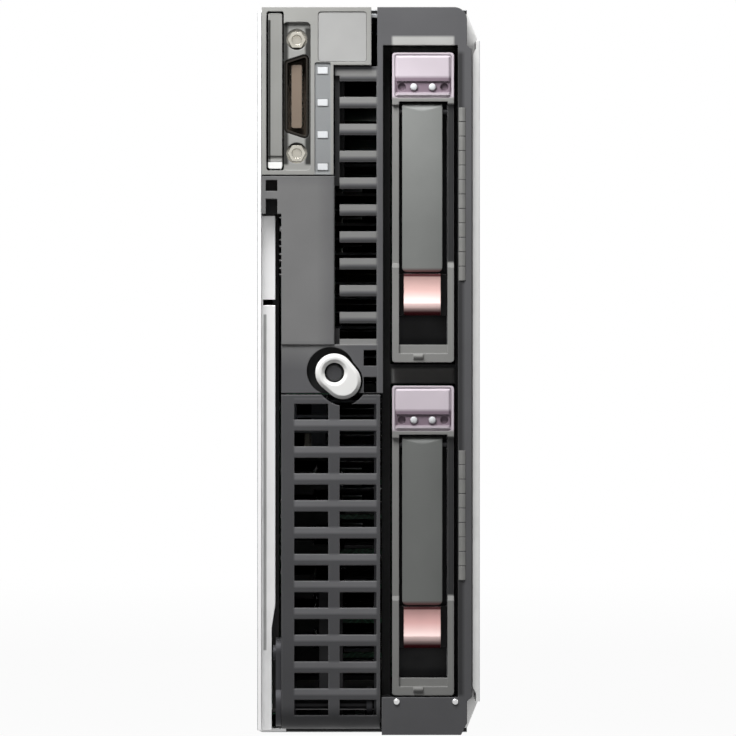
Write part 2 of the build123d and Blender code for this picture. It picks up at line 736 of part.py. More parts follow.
def front_bezel():
    """Main bezel: drive surround, plain panel, recessed grille and the pod of the two buttons."""
    bezel = from_front(bezel_outline(), 0, BEZEL_DEPTH)
    for floor in BAY_FLOORS:
        bezel -= from_front(rect(BAY_X0, BAY_X1, floor, floor + BAY_H), -1, BEZEL_DEPTH + 1)
    reveal = rect(BAY_X0 - REVEAL_LEFT, BAY_X1 + REVEAL_RIGHT,
                  FOOT_BLOCK_H, HEIGHT - HEAD_BLOCK_H + REVEAL_TOP)
    reveal += rect(LEVER_X1, BAY_X1, FOOT_BLOCK_H, POD_Z0)
    bezel -= from_front(reveal, -1, REVEAL_DEPTH)
    hollow_x0 = PANEL_X0 + BEZEL_WALL
    hollow_x1 = VENT_X1 + PLAY
    hollow_top = SERVICE_Z0 - SEAM - BEZEL_WALL
    floor_y = RECESS_DEPTH + RECESS_FLOOR
    bezel -= block(hollow_x0, hollow_x1, floor_y, BEZEL_DEPTH + 1, POD_Z0 + BEZEL_WALL, hollow_top)
    bezel -= block(hollow_x0, hollow_x1, BEZEL_WALL, floor_y + 1, POD_TOP + POD_RIB, hollow_top)
    bezel -= block(GRILLE_X0 + BEZEL_WALL, hollow_x1, GRILLE_SETBACK + BEZEL_WALL, BEZEL_DEPTH + 1,
                   hollow_top - BEZEL_WALL, GRILLE_TOP - GRILLE_EDGE)
    grille = rect(GRILLE_X0 - BEZEL_EDGE, VENT_X1 + SEAM, POD_TOP, GRILLE_TOP + 1.0)
    bezel -= from_front(grille, -1, GRILLE_SETBACK)
    bezel -= block(GRILLE_X0, VENT_X0, -1, GRILLE_GROOVE, POD_TOP, GRILLE_TOP - GRILLE_BROW)
    rows = vent_rows(VENT_X0, VENT_X1, LEVER_ROWS + POD_ROWS, BEZEL_ROWS)
    bezel -= from_front(rows, -1, BEZEL_DEPTH / 2)
    bezel -= block(PANEL_X0 - 1, VENT_X1 + SEAM, -1, POD_SETBACK, POD_Z0 - 1, POD_TOP)
    pod_rows = vent_rows(VENT_X1 - POD_VENT_W, VENT_X1, LEVER_ROWS, POD_ROWS)
    bezel -= from_front(pod_rows, -1, BEZEL_DEPTH / 2)
    dish = teardrop(RING_GAP) + disc(RING_X + DISH_DX, RING_Z + DISH_DZ, RING_R + DISH_GROW)
    bezel -= from_front(dish, -1, RECESS_DEPTH)
    bezel -= from_front(disc(RING_X, RING_Z, RING_STEM_R + PLAY), -1, BEZEL_DEPTH + 1)
    half = SWITCH_SIZE / 2 + SEAM
    bezel -= block(RING_X - half, RING_X + half, SWITCH_Y - SEAM, BEZEL_DEPTH + 1,
                   RING_Z - half, RING_Z + half)
    catch_x0 = BEZEL_X0 + CATCH_WALL
    catch_x1 = PANEL_X0 - CATCH_WALL
    steps = rect(catch_x0, catch_x1, CATCH_Z0 - 1, SERVICE_Z0 - CATCH_STEP - CATCH_BAR)
    steps += rect(catch_x0, catch_x1, SERVICE_Z0 - CATCH_STEP, SERVICE_Z0 - CATCH_WALL - SEAM)
    bezel -= from_front(steps, -1, CATCH_SINK)
    bezel -= block(BEZEL_X0 - 1, catch_x1, CATCH_BACK, BEZEL_DEPTH + 1, CATCH_Z0 - 1, SERVICE_Z0)
    return bezel


def service_panel():
    """Lighter moulding at the upper left, with the tab slot, connector pocket and lamp windows."""
    step_x = GRILLE_X0 - SEAM
    step_z = GRILLE_TOP + SEAM
    outline = rect(BEZEL_X0, step_x, SERVICE_Z0, BEZEL_TOP)
    outline += rect(BEZEL_X0, SERVICE_X1, step_z, BEZEL_TOP)
    panel = from_front(outline, 0, BEZEL_DEPTH)
    inner_x0 = BEZEL_X0 + SERVICE_WALL
    inner_top = BEZEL_TOP - SERVICE_WALL
    inner = rect(inner_x0, step_x - SERVICE_WALL, SERVICE_Z0 + SERVICE_WALL, inner_top)
    inner += rect(inner_x0, SERVICE_X1 - BEZEL_WALL, step_z + SERVICE_WALL, inner_top)
    panel -= from_front(inner, BEZEL_WALL, BEZEL_DEPTH + 1)
    slot = rect(TAB_X0 - PLAY, TAB_X0 + TAB_W + PLAY, TAB_Z0 - PLAY, TAB_Z1 + PLAY, TAB_R)
    panel -= from_front(slot, -1, BEZEL_DEPTH + 1)
    pocket_h = JACK_SPACING / 2 + JACK_HEX + POCKET_END
    pocket_w = PORT_W / 2 + POCKET_EDGE
    pocket = rect(PORT_X - pocket_w, PORT_X + pocket_w, PORT_Z - pocket_h, PORT_Z + pocket_h, POCKET_SINK)
    panel -= from_front(pocket, -1, POCKET_SINK)
    holes = port_outline(SEAM)
    for side in (-1, 1):
        holes += disc(PORT_X, PORT_Z + side * JACK_SPACING / 2, JACK_HEX + SEAM)
    panel -= from_front(holes, -1, BEZEL_WALL + 1)
    panel -= from_front(lamp_windows(SNUG), -1, BEZEL_WALL + 1)
    strip_z1 = SERVICE_Z0 + LAMP_FIRST_RISE + (LAMP_COUNT - 1) * LAMP_PITCH + STRIP_END
    strip_w = LAMP_W / 2 + POCKET_EDGE
    strip = rect(LAMP_X - strip_w, LAMP_X + strip_w, SERVICE_Z0 + STRIP_SINK, strip_z1, TAB_R)
    panel -= from_front(strip, -1, STRIP_SINK)
    panel -= from_front(plate_outline(SNUG), -1, PLATE_T)
    return panel


def plate_outline(grow=0.0):
    """Outline of the bare name plate."""
    x1 = SERVICE_X1 - PLATE_EDGE
    z1 = BEZEL_TOP - PLATE_EDGE
    return rect(x1 - PLATE_W - grow, x1 + grow, z1 - PLATE_H - grow, z1 + grow, PLATE_T)


def name_plate():
    """Bare plate at the top of the service panel."""
    return from_front(plate_outline(), LAMP_SINK, PLATE_T)


def lamp_windows(grow=0.0):
    """Outlines of the status lamps."""
    windows = Sketch()
    for index in range(LAMP_COUNT):
        z = SERVICE_Z0 + LAMP_FIRST_RISE + index * LAMP_PITCH
        half_w = LAMP_W / 2 + grow
        half_h = LAMP_H / 2 + grow
        windows += rect(LAMP_X - half_w, LAMP_X + half_w, z - half_h, z + half_h)
    return windows


def status_lamps():
    """Light pipe with one pin for each lamp, joined by a rail behind the panel."""
    pins = from_front(lamp_windows(), LAMP_SINK, BEZEL_DEPTH)
    z0 = SERVICE_Z0 + LAMP_FIRST_RISE
    z1 = z0 + (LAMP_COUNT - 1) * LAMP_PITCH
    y0 = BEZEL_DEPTH - PIPE_BACK
    return pins + block(LAMP_X - PIPE_W / 2, LAMP_X + PIPE_W / 2, y0, y0 + PIPE_T, z0, z1)


def port_outline(grow=0.0):
    """D-shaped outline of the console connector, grown by a clearance or shrunk by a wall."""
    shape = Rot(0, 0, 90) * Trapezoid(PORT_H, PORT_W, PORT_SLANT)
    shape = fillet(shape.vertices(), PORT_R)
    if grow:
        shape = offset(shape, grow)
    return Pos(PORT_X, PORT_Z) * shape


def io_connector_shell():
    """Plated shell of the console connector with its screw plate."""
    tall = JACK_SPACING / 2 + JACK_HEX + 2 * SEAM
    reach = PORT_W / 2 + PLAY
    plate = rect(PORT_X - reach, PORT_X + reach, PORT_Z - tall, PORT_Z + tall, PORT_R)
    for side in (-1, 1):
        plate -= disc(PORT_X, PORT_Z + side * JACK_SPACING / 2, JACK_THREAD_R + JACK_WALL + SNUG)
    shell = from_front(port_outline(), PORT_FRONT, BOARD_FRONT)
    shell += from_front(plate, PORT_PLATE_Y, PORT_PLATE_Y + SHEET)
    return shell - from_front(port_outline(-PORT_SKIN), PORT_FRONT - 1, BOARD_FRONT + 1)


def io_connector_insert():
    """Insulator with its contact tongue, seated on the edge of the system board."""
    wall = PORT_SKIN + SNUG
    half_w = PORT_W / 2 - wall
    half_h = PORT_H / 2 - 2 * PORT_SKIN
    body = from_front(port_outline(-wall), PORT_FRONT + TONGUE_L, BOARD_FRONT)
    tall = half_h - TONGUE_END
    tongue = rect(PORT_X - TONGUE_T / 2, PORT_X + TONGUE_T / 2, PORT_Z - tall, PORT_Z + tall, PORT_SKIN)
    body += from_front(tongue, PORT_FRONT + TONGUE_SINK, PORT_FRONT + TONGUE_SINK + TONGUE_L)
    return body + block(BOARD_X1, PORT_X + half_w, BOARD_FRONT, PORT_BACK, PORT_Z - half_h, PORT_Z + half_h)


def io_jackscrews():
    """Two hexagonal jackscrews with threaded holes for the cable's screws."""
    screws = []
    for side in (-1, 1):
        z = PORT_Z + side * JACK_SPACING / 2
        nut = Pos(PORT_X, z) * RegularPolygon(JACK_HEX, 6)
        screw = from_front(nut, PORT_FRONT, PORT_PLATE_Y)
        barrel = disc(PORT_X, z, JACK_THREAD_R + JACK_WALL)
        screw += from_front(barrel, PORT_PLATE_Y, PORT_FRONT + JACK_THREAD_L + JACK_END)
        screw -= from_front(disc(PORT_X, z, JACK_THREAD_R), PORT_FRONT - 1, PORT_FRONT + JACK_THREAD_L)
        screws.append(screw)
    return group(screws)


def front_board():
    """Small board behind the bezel that carries the lamps and the power switch."""
    half = SWITCH_SIZE / 2 + FRONT_BOARD_EDGE
    top = SERVICE_Z0 + LAMP_FIRST_RISE + LAMP_COUNT * LAMP_PITCH - LAMP_W
    x0 = PANEL_X0 + FRONT_BOARD_EDGE / 2
    outline = rect(x0, RING_X + half, RING_Z - half, RING_Z + half)
    outline += rect(x0, GRILLE_X0, RING_Z - half, SERVICE_Z0 - FRONT_BOARD_EDGE)
    outline += rect(LAMP_X - LAMP_W / 2, LAMP_X + LAMP_W / 2, RING_Z, top)
    return from_front(outline, TRAY_FRONT, TRAY_FRONT + BOARD_T)


def power_switch():
    """Switch body on the front board, with a bore for the power button's stem."""
    half = SWITCH_SIZE / 2
    body = rect(RING_X - half, RING_X + half, RING_Z - half, RING_Z + half, SWITCH_R)
    switch = from_front(body, SWITCH_Y, TRAY_FRONT)
    bore = disc(RING_X, RING_Z, POWER_R + SWITCH_BORE_GAP)
    return switch - from_front(bore, 0, POWER_END_Y + POWER_TRAVEL + PLAY)


def lever_bracket():
    """Steel bracket on the floor whose two ears hold the lever's pivot pin."""
    base_x0 = LEVER_X0 + CHEEK_T + PLAY
    base_x1 = LEVER_X1 - CHEEK_T - PLAY
    ear_y1 = TRAY_FRONT + BRACKET_L
    ear = disc(PIVOT_Y, PIVOT_Z, EAR_R)
    ear += rect(PIVOT_Y, ear_y1, PIVOT_Z - EAR_R / 2, PIVOT_Z + EAR_R)
    ear += rect(TRAY_FRONT, ear_y1, SHEET, PIVOT_Z + EAR_R)
    ear -= disc(PIVOT_Y, PIVOT_Z, PIVOT_R + PIN_FIT)
    bracket = from_side(ear, base_x0, base_x0 + EAR_T) + from_side(ear, base_x1 - EAR_T, base_x1)
    return bracket + block(base_x0, base_x1, TRAY_FRONT + BRACKET_LEAD, ear_y1, SHEET, 2 * SHEET)


def lever_pivot_pin():
    """Pin through the lever's cheeks and the bracket's ears."""
    return from_side(disc(PIVOT_Y, PIVOT_Z, PIVOT_R), LEVER_X0 + PIN_INSET, LEVER_X1 - PIN_INSET)


def lever_spring():
    """Leaf spring on the bracket base that bears behind the lever."""
    mid_x = (LEVER_X0 + LEVER_X1) / 2
    y1 = TRAY_FRONT + BRACKET_L - 2 * SHEET
    top = PIVOT_Z + SPRING_RISE
    foot_z = 2 * SHEET
    bend_y = TRAY_FRONT + SPRING_BEND
    tip_y = LEVER_PLATE + SEAM
    path = Polyline((y1, foot_z), (bend_y, foot_z), (tip_y, top), (tip_y + SPRING_T, top),
                    (bend_y + SPRING_T / 2, foot_z + SPRING_T), (y1, foot_z + SPRING_T), close=True)
    return from_side(make_face(path), mid_x - SPRING_W / 2, mid_x + SPRING_W / 2)


def lever_profile():
    """Side outline of the lever's grille plate, rolled round the pivot at its foot."""
    plate = rect(0, LEVER_PLATE, PIVOT_Z, LEVER_TOP)
    roll = disc(PIVOT_Y, PIVOT_Z, LEVER_FOOT_R) - disc(PIVOT_Y, PIVOT_Z, LEVER_FOOT_R - LEVER_PLATE)
    return plate + (roll & rect(-1, PIVOT_Y, 0, PIVOT_Z))


def release_lever():
    """Grille face of the lever, rolled under at its foot and notched at the top round the ring button."""
    lever = from_side(lever_profile(), LEVER_X0, LEVER_X1)
    lever += block(LEVER_X0, LEVER_X1, 0, CHEEK_DEPTH - 2.0, LEVER_TOP - LEVER_LIP, LEVER_TOP)
    slots = vent_rows(LEFT_VENT_X0, LEFT_VENT_X1, 0, LEVER_ROWS) + vent_rows(VENT_X0, VENT_X1, 0, LEVER_ROWS)
    lever -= from_front(slots, -1, LEVER_PLATE + 1.4)
    return lever - from_front(teardrop(NOTCH_GAP), -1, CHEEK_DEPTH)


def lever_cheeks():
    """Two steel side plates behind the lever's face, bored for the pivot pin."""
    cheek = rect(LEVER_PLATE, CHEEK_DEPTH, PIVOT_Z, LEVER_TOP - LEVER_LIP)
    cheek += disc(PIVOT_Y, PIVOT_Z, LEVER_FOOT_R - LEVER_PLATE)
    cheek -= disc(PIVOT_Y, PIVOT_Z, PIVOT_R + PIVOT_FIT)
    sides = []
    for x0 in (LEVER_X0, LEVER_X1 - CHEEK_T):
        clearance = from_front(teardrop(NOTCH_GAP), -1, CHEEK_DEPTH + 1)
        sides.append(from_side(cheek, x0, x0 + CHEEK_T) - clearance)
    return group(sides)


def lever_hook():
    """Steel cam plate on the left cheek that hooks into the enclosure."""
    reach = PIVOT_Z + HOOK_H
    plate = disc(PIVOT_Y, PIVOT_Z, HOOK_FOOT_R) + rect(PIVOT_Y - HOOK_R, PIVOT_Y + HOOK_R, PIVOT_Z, reach)
    plate += disc(PIVOT_Y, reach, HOOK_R)
    plate -= disc(PIVOT_Y + HOOK_R + PLAY, PIVOT_Z + HOOK_H / 2, HOOK_BITE_R)
    x1 = LEVER_X0 - PIN_FIT
    hook = from_side(plate, x1 - HOOK_T, x1)
    post = disc(PIVOT_Y, reach, HOOK_R / 2)
    return hook + from_side(post, x1 - HOOK_T - HOOK_POST, x1)


def release_button():
    """Pale ring with a tail that frees the lever, on a hollow stem."""
    bore = disc(RING_X, RING_Z, RING_HOLE_R)
    back = RING_THICK - KNOB_PROUD
    head = from_front(teardrop() - bore, -KNOB_PROUD, back)
    head = chamfer(head.edges().group_by(Axis.Y)[0], RING_EDGE)
    stem_end = RECESS_DEPTH + RING_TRAVEL + BEZEL_WALL
    return head + from_front(disc(RING_X, RING_Z, RING_STEM_R) - bore, back, stem_end)


def power_button():
    """Round push button in the hole of the ring, its stem ending in the switch."""
    button = from_front(disc(RING_X, RING_Z, POWER_R), POWER_SINK, POWER_END_Y)
    return chamfer(button.edges().group_by(Axis.Y)[0], POWER_SINK)


def label_tab():
    """Pull-out tab: a grip in the panel's slot with a thin card behind it."""
    grip = from_front(rect(TAB_X0, TAB_X0 + TAB_W, TAB_Z0, TAB_Z1, TAB_R), TAB_SETBACK, TAB_GRIP_L)
    notch_z = TAB_Z0 + TAB_NOTCH_RISE
    notch = rect(TAB_X0 - 1, TAB_X0 + TAB_W + 1, notch_z, notch_z + TAB_NOTCH_H)
    grip -= from_front(notch, 0, 2 * TAB_SETBACK)
    card_z0 = TAB_Z0 + CARD_MARGIN
    return grip + block(TAB_X0, TAB_X0 + CARD_T, TAB_GRIP_L - 1.0, TAB_GRIP_L + CARD_L,
                        card_z0, TAB_Z1 - CARD_MARGIN)


def access_panel():
    """Lift-off steel panel over the boards, with a pressed field and a finger grip."""
    y0 = PANEL_SPLIT + PLAY
    panel = from_front(side_section(PLAY), y0, TRAY_REAR - SHEET - PLAY)
    field = rect(y0 + FIELD_MARGIN_Y, TRAY_REAR - FIELD_MARGIN_Y,
                 MID_Z - FIELD_H / 2, MID_Z + FIELD_H / 2, FIELD_R)
    panel -= from_side(field, RIGHT - FIELD_SINK, RIGHT + SHEET)
    grip = Pos(y0 + GRIP_Y, MID_Z) * SlotOverall(GRIP_L, GRIP_W, rotation=90)
    return panel - from_side(grip, RIGHT - GRIP_SINK, RIGHT + SHEET)


def panel_release_button():
    """Round button in the side cover that frees the access panel, its stem guided by the strap behind."""
    cap = from_side(disc(LATCH_Y, MID_Z, LATCH_R - PLAY), INNER_RIGHT - BEZEL_EDGE, RIGHT - SNUG)
    return cap + from_side(disc(LATCH_Y, MID_Z, LATCH_STEM_R), INNER_RIGHT - STRAP_GAP - SHEET, INNER_RIGHT)


def drive_carrier(floor):
    """Moulded frame of one drive: stepped front surround, guide rails and a web for the button's stem."""
    z0 = floor + PLAY
    z1 = z0 + CARRIER_H
    face = rect(CARRIER_X0, CARRIER_X1, z0, z1, FRAME_R)
    face -= rect(WINDOW_X0, WINDOW_X1, z0 + WINDOW_FOOT, z0 + WINDOW_TOP)
    carrier = from_front(face, CARRIER_FACE, FRAME_BACK)
    carrier -= from_front(lamp_block_outline(floor, SNUG), 0, CARRIER_FACE + LAMP_BLOCK_T)
    low = z0 + BUTTON_TOP + SHOULDER_RISE
    high = z0 + WINDOW_TOP - SHOULDER_RISE
    deep = CARRIER_FACE + RAIL_SETBACK
    setback = Polyline((0, low), (deep, low + deep), (deep, high), (0, high), close=True)
    carrier -= from_side(make_face(setback), CARRIER_X0 - 1, CARRIER_X1 + 1)
    step_z = z0 + WINDOW_FOOT - FOOT_STEP_H
    carrier -= block(WINDOW_X0, WINDOW_X1, 0, CARRIER_FACE + FOOT_STEP, step_z, z0 + WINDOW_FOOT + 1)
    bump_x = (CARRIER_X0 + CARRIER_X1) / 2 - BUMP_SHIFT
    bump = disc(CARRIER_FACE, step_z - BUMP_R, BUMP_R)
    carrier += from_side(bump, bump_x - BUMP_W / 2, bump_x + BUMP_W / 2)
    rail_x0 = CARRIER_X0 + RAIL_INSET
    rail_x1 = CARRIER_X1 - RAIL_INSET
    rail_end = DISK_Y1 - PLUG_L
    carrier += block(rail_x0, rail_x1, FRAME_BACK - 1, rail_end, z0, z0 + RAIL_T)
    carrier += block(rail_x0, rail_x1, FRAME_BACK - 1, rail_end, z1 - RAIL_T, z1)
    web = rect(WINDOW_X0 - WEB_SINK, WINDOW_X1 + WEB_SINK, z0 + BUTTON_BASE, z0 + BUTTON_TOP)
    web -= stem_outline(floor, SEAM)
    carrier += from_front(web, FRAME_BACK - 2 * WEB_T, FRAME_BACK - WEB_T)
    pin = disc(HANDLE_PIN_Y, z0 + HANDLE_PIN_RISE, HANDLE_PIN_R + PIN_FIT)
    bore_end = HANDLE_PIN_END - SCREW_FIT
    return carrier - from_side(pin, CARRIER_X0 + bore_end, CARRIER_X1 - bore_end)


def stem_outline(floor, grow=0.0):
    """Outline of the drive button's stem."""
    middle_x = (HANDLE_X0 + HANDLE_X1) / 2
    half = STEM_W / 2 + grow
    z0 = floor + PLAY + BUTTON_BASE + STEM_RISE
    return rect(middle_x - half, middle_x + half, z0 - grow, z0 + STEM_H + grow)


def lamp_block_outline(floor, grow=0.0):
    """Outline of the pale lamp block at the head of a carrier."""
    top = floor + PLAY + CARRIER_H - LAMP_BLOCK_DROP
    side = LAMP_BLOCK_EDGE - grow
    return rect(CARRIER_X0 + side, CARRIER_X1 - side, top - LAMP_BLOCK_H - grow, top + grow, LAMP_BLOCK_DROP)


def drive_lamp_block(floor):
    """Pale block with a slanted brow, and two lamps and two dark holes in a sunk row along its foot."""
    front = CARRIER_FACE - LAMP_PROUD
    body = from_front(lamp_block_outline(floor), front, CARRIER_FACE + LAMP_BLOCK_T)
    brow = body.edges().group_by(Axis.Y)[0].sort_by(Axis.Z)[-1]
    body = chamfer(brow, 2 * LAMP_PROUD)
    row_z = floor + PLAY + CARRIER_H - LAMP_BLOCK_DROP - LAMP_BLOCK_H + LAMP_ROW_RISE
    middle_x = (CARRIER_X0 + CARRIER_X1) / 2
    half = LAMP_ROW_W / 2
    sunk = rect(middle_x - half, middle_x + half, row_z - LAMP_ROW_H / 2, row_z + LAMP_ROW_H / 2)
    body -= from_front(sunk, 0, front + LAMP_ROW_SINK)
    for side in (-1, 1):
        hole = disc(middle_x + side * HOLE_REACH, row_z, HOLE_R)
        body -= from_front(hole, 0, CARRIER_FACE + LAMP_BLOCK_T - PLAY)
        lamp = disc(middle_x + side * LAMP_REACH, row_z, HOLE_R)
        body += from_front(lamp, front + LAMP_ROW_SINK / 3, CARRIER_FACE + LAMP_BLOCK_T)
    return body


def drive_lever(floor):
    """Ejector lever with a crowned face, hinged under the lamp block."""
    pin_z = floor + PLAY + HANDLE_PIN_RISE
    foot = floor + PLAY + BUTTON_TOP + PLAY
    profile = rect(HANDLE_Y, HANDLE_Y + HANDLE_T, foot, pin_z) + disc(HANDLE_PIN_Y, pin_z, HANDLE_BARREL_R)
    profile -= disc(HANDLE_PIN_Y, pin_z, HANDLE_PIN_R + PIVOT_FIT)
    lever = from_side(profile, HANDLE_X0, HANDLE_X1)
    corners = lever.edges().filter_by(Axis.Y).group_by(Axis.Z)[0]
    lever = fillet(corners, HANDLE_R)
    left = (HANDLE_X0, HANDLE_Y + HANDLE_CROWN)
    right = (HANDLE_X1, HANDLE_Y + HANDLE_CROWN)
    crown = ThreePointArc(left, ((HANDLE_X0 + HANDLE_X1) / 2, HANDLE_Y), right)
    back = HANDLE_Y + 3 * HANDLE_BARREL_R
    rest = Polyline(right, (HANDLE_X1, back), (HANDLE_X0, back), left)
    return lever & from_above(make_face(crown + rest), foot - 1, pin_z + 2 * HANDLE_BARREL_R)


def drive_lever_pin(floor):
    """Hinge pin of the ejector lever."""
    pin = disc(HANDLE_PIN_Y, floor + PLAY + HANDLE_PIN_RISE, HANDLE_PIN_R)
    return from_side(pin, CARRIER_X0 + HANDLE_PIN_END, CARRIER_X1 - HANDLE_PIN_END)


def drive_button(floor):
    """Release button of a drive: a scooped face over a rolled lip, with a square stem behind."""
    base = floor + PLAY + BUTTON_BASE
    top = floor + PLAY + BUTTON_TOP
    crest = (HANDLE_Y, base + LIP_R)
    brow = (HANDLE_Y + SEAM, top)
    scoop = ThreePointArc(brow, (HANDLE_Y + SCOOP, (top + base + LIP_R) / 2), crest)
    lip = RadiusArc(crest, (HANDLE_Y + LIP_R, base), -LIP_R)
    back = HANDLE_Y + LIP_R + PLAY
    rear = Polyline((HANDLE_Y + LIP_R, base), (back, base), (back, top), brow)
    face = from_side(make_face(scoop + lip + rear), HANDLE_X0 + PLAY, HANDLE_X1 - PLAY)
    return face + from_front(stem_outline(floor), HANDLE_Y + LIP_R, FRAME_BACK - WEB_T + PLAY)


def hard_drive(floor):
    """Disk drive with a raised lid and a connector plug at its rear."""
    z0 = floor + PLAY + RAIL_T + DISK_SIDE_GAP
    z1 = floor + PLAY + CARRIER_H - RAIL_T - DISK_SIDE_GAP
    x0 = CARRIER_X0 + DISK_INSET
    x1 = CARRIER_X1 - DISK_INSET
    body = block(x0, x1 - LID_T, DISK_Y0, DISK_Y1, z0, z1)
    body = fillet(body.edges().filter_by(Axis.Y), DISK_R)
    lid = rect(DISK_Y0 + LID_EDGE, DISK_Y1 - LID_EDGE, z0 + LID_EDGE, z1 - LID_EDGE, LID_R)
    body += from_side(lid, x1 - 2 * LID_T, x1)
    plug_x = x0 + PLUG_X
    plug_z = z0 + PLUG_Z
    return body + block(plug_x, plug_x + PLUG_W, DISK_Y1 - PLUG_L, DISK_Y1 + PLUG_L, plug_z, plug_z + PLUG_H)


def drive_backplane():
    """Board on the back of the cage."""
    return block(BAY_X0 - SHEET, BAY_X1 + SHEET, BACKPLANE_Y, BACKPLANE_Y + BACKPLANE_T, FOOT_BLOCK_H - SHEET,
                 HEIGHT - HEAD_BLOCK_H + SHEET)


def drive_receptacles():
    """Receptacles on the backplane, one for each drive."""
    shells = []
    for floor in BAY_FLOORS:
        x0 = CARRIER_X0 + DISK_INSET + PLUG_X - SOCKET_WALL
        x1 = x0 + PLUG_W + 2 * SOCKET_WALL
        z0 = floor + PLAY + RAIL_T + DISK_SIDE_GAP + PLUG_Z - SOCKET_WALL
        z1 = z0 + PLUG_H + 2 * SOCKET_WALL
        shells.append(block(x0, x1, BACKPLANE_Y - SOCKET_L, BACKPLANE_Y, z0, z1))
    return group(shells)


def system_board():
    """Main board, parallel to the left wall."""
    board = rect(BOARD_FRONT, BOARD_Y1, BOARD_Z0, BOARD_Z1, BOARD_R)
    for y, z in board_screw_places():
        board -= disc(y, z, SCREW_R + SCREW_FIT)
    return from_side(board, BOARD_X0, BOARD_X1)


def board_standoffs():
    """Hexagonal spacers between the left wall and the board."""
    posts = []
    for y, z in board_screw_places():
        post = Pos(y, z) * RegularPolygon(POST_R, 6) - disc(y, z, SCREW_R + SNUG)
        posts.append(from_side(post, INNER_LEFT, BOARD_X0))
    return group(posts)


def board_screws():
    """Hexagon-headed screws of the system board."""
    screws = []
    for y, z in board_screw_places():
        shank = from_side(disc(y, z, SCREW_R), INNER_LEFT + PLAY, BOARD_X1 + PLAY)
        head = Pos(y, z) * RegularPolygon(SCREW_HEAD_R, 6)
        screws.append(shank + from_side(head, BOARD_X1, BOARD_X1 + SCREW_HEAD_H))
    return group(screws)


def processor_sockets():
    """Sockets of the two processors."""
    half = SOCKET_SIZE / 2
    return group(from_side(rect(y - half, y + half, z - half, z + half, BOARD_R),
                           BOARD_X1, BOARD_X1 + SOCKET_H)
                 for y, z in CPU_PLACES)


def processors():
    """Processor packages with their lids."""
    half = CPU_SIZE / 2
    chips = []
    for y, z in CPU_PLACES:
        package = rect(y - half, y + half, z - half, z + half, CPU_R)
        lid_half = half - CPU_RIM
        lid = rect(y - lid_half, y + lid_half, z - lid_half, z + lid_half, 2 * CPU_R)
        x0 = BOARD_X1 + SOCKET_H
        chips.append(from_side(package, x0, x0 + CPU_H / 2) + from_side(lid, x0, x0 + CPU_H))
    return group(chips)


def heatsink(place):
    """Finned heatsink with a corner hole for each screw."""
    y, z = place
    z0 = z - SINK_W / 2
    section = rect(SINK_X0, SINK_X0 + SINK_BASE, z0, z0 + SINK_W)
    pitch = (SINK_W - FIN_T) / (FIN_COUNT - 1)
    for index in range(FIN_COUNT):
        section += rect(SINK_X0, SINK_X0 + SINK_H, z0 + index * pitch, z0 + index * pitch + FIN_T)
    sink = from_front(section, y - SINK_L / 2, y + SINK_L / 2)
    for screw_y, screw_z in sink_screw_places():
        clear = disc(screw_y, screw_z, SCREW_HEAD_R + 2 * SEAM)
        sink -= from_side(clear, SINK_X0 + SINK_BASE, SINK_X0 + SINK_H + 1)
        sink -= from_side(disc(screw_y, screw_z, SCREW_R + SCREW_FIT), SINK_X0 - 1, SINK_X0 + SINK_BASE + 1)
    return sink


def heatsink_screws():
    """Spring-loaded corner screws that clamp the heatsinks to the board."""
    screws = []
    for y, z in sink_screw_places():
        seat = SINK_X0 + SINK_BASE
        shank = from_side(disc(y, z, SCREW_R), BOARD_X1, seat + PLAY)
        head = Pos(y, z) * RegularPolygon(SCREW_HEAD_R, 6)
        screws.append(shank + from_side(head, seat, seat + 2 * SCREW_HEAD_H))
    return group(screws)


def module_places():
    """Start and height of every memory module."""
    places = []
    for y, z in BANK_PLACES:
        for index in range(MODULE_COUNT):
            places.append((y, z + HOLDER_W / 2 + index * MODULE_PITCH))
    return places


def memory_sockets():
    """Memory sockets with a slot and a latch at each end."""
    sockets = []
    for y, z in module_places():
        body = block(BOARD_X1, BOARD_X1 + HOLDER_H, y, y + HOLDER_L, z - HOLDER_W / 2, z + HOLDER_W / 2)
        latch_l = HOLDER_LATCH_L - LATCH_GIVE
        for end in (y, y + HOLDER_L - latch_l):
            body += block(BOARD_X1, BOARD_X1 + LATCH_H, end, end + latch_l, z - LATCH_W / 2, z + LATCH_W / 2)
        slot_y0 = y + HOLDER_LATCH_L - SNUG
        slot = rect(slot_y0, slot_y0 + MODULE_L + 2 * SNUG, z - MODULE_T / 2 - SNUG, z + MODULE_T / 2 + SNUG)
        body -= from_side(slot, BOARD_X1 + SEAT_H, BOARD_X1 + LATCH_H + 1)
        sockets.append(body)
    return group(sockets)


def memory_modules():
    """Memory modules with a row of chips on one side."""
    modules = []
    x0 = BOARD_X1 + SEAT_H
    for y, z in module_places():
        y0 = y + HOLDER_LATCH_L
        module = block(x0, x0 + MODULE_H, y0, y0 + MODULE_L, z - MODULE_T / 2, z + MODULE_T / 2)
        chip_x = x0 + MODULE_H * MODULE_CHIP_RISE - MODULE_CHIP_W / 2
        for index in range(MODULE_CHIPS):
            chip_y = y0 + MODULE_L * (index + 0.5) / MODULE_CHIPS - MODULE_CHIP_L / 2
            chip = rect(chip_x, chip_x + MODULE_CHIP_W, chip_y, chip_y + MODULE_CHIP_L)
            module += from_above(chip, z, z + MODULE_T / 2 + MODULE_CHIP_H)
        modules.append(module)
    return group(modules)


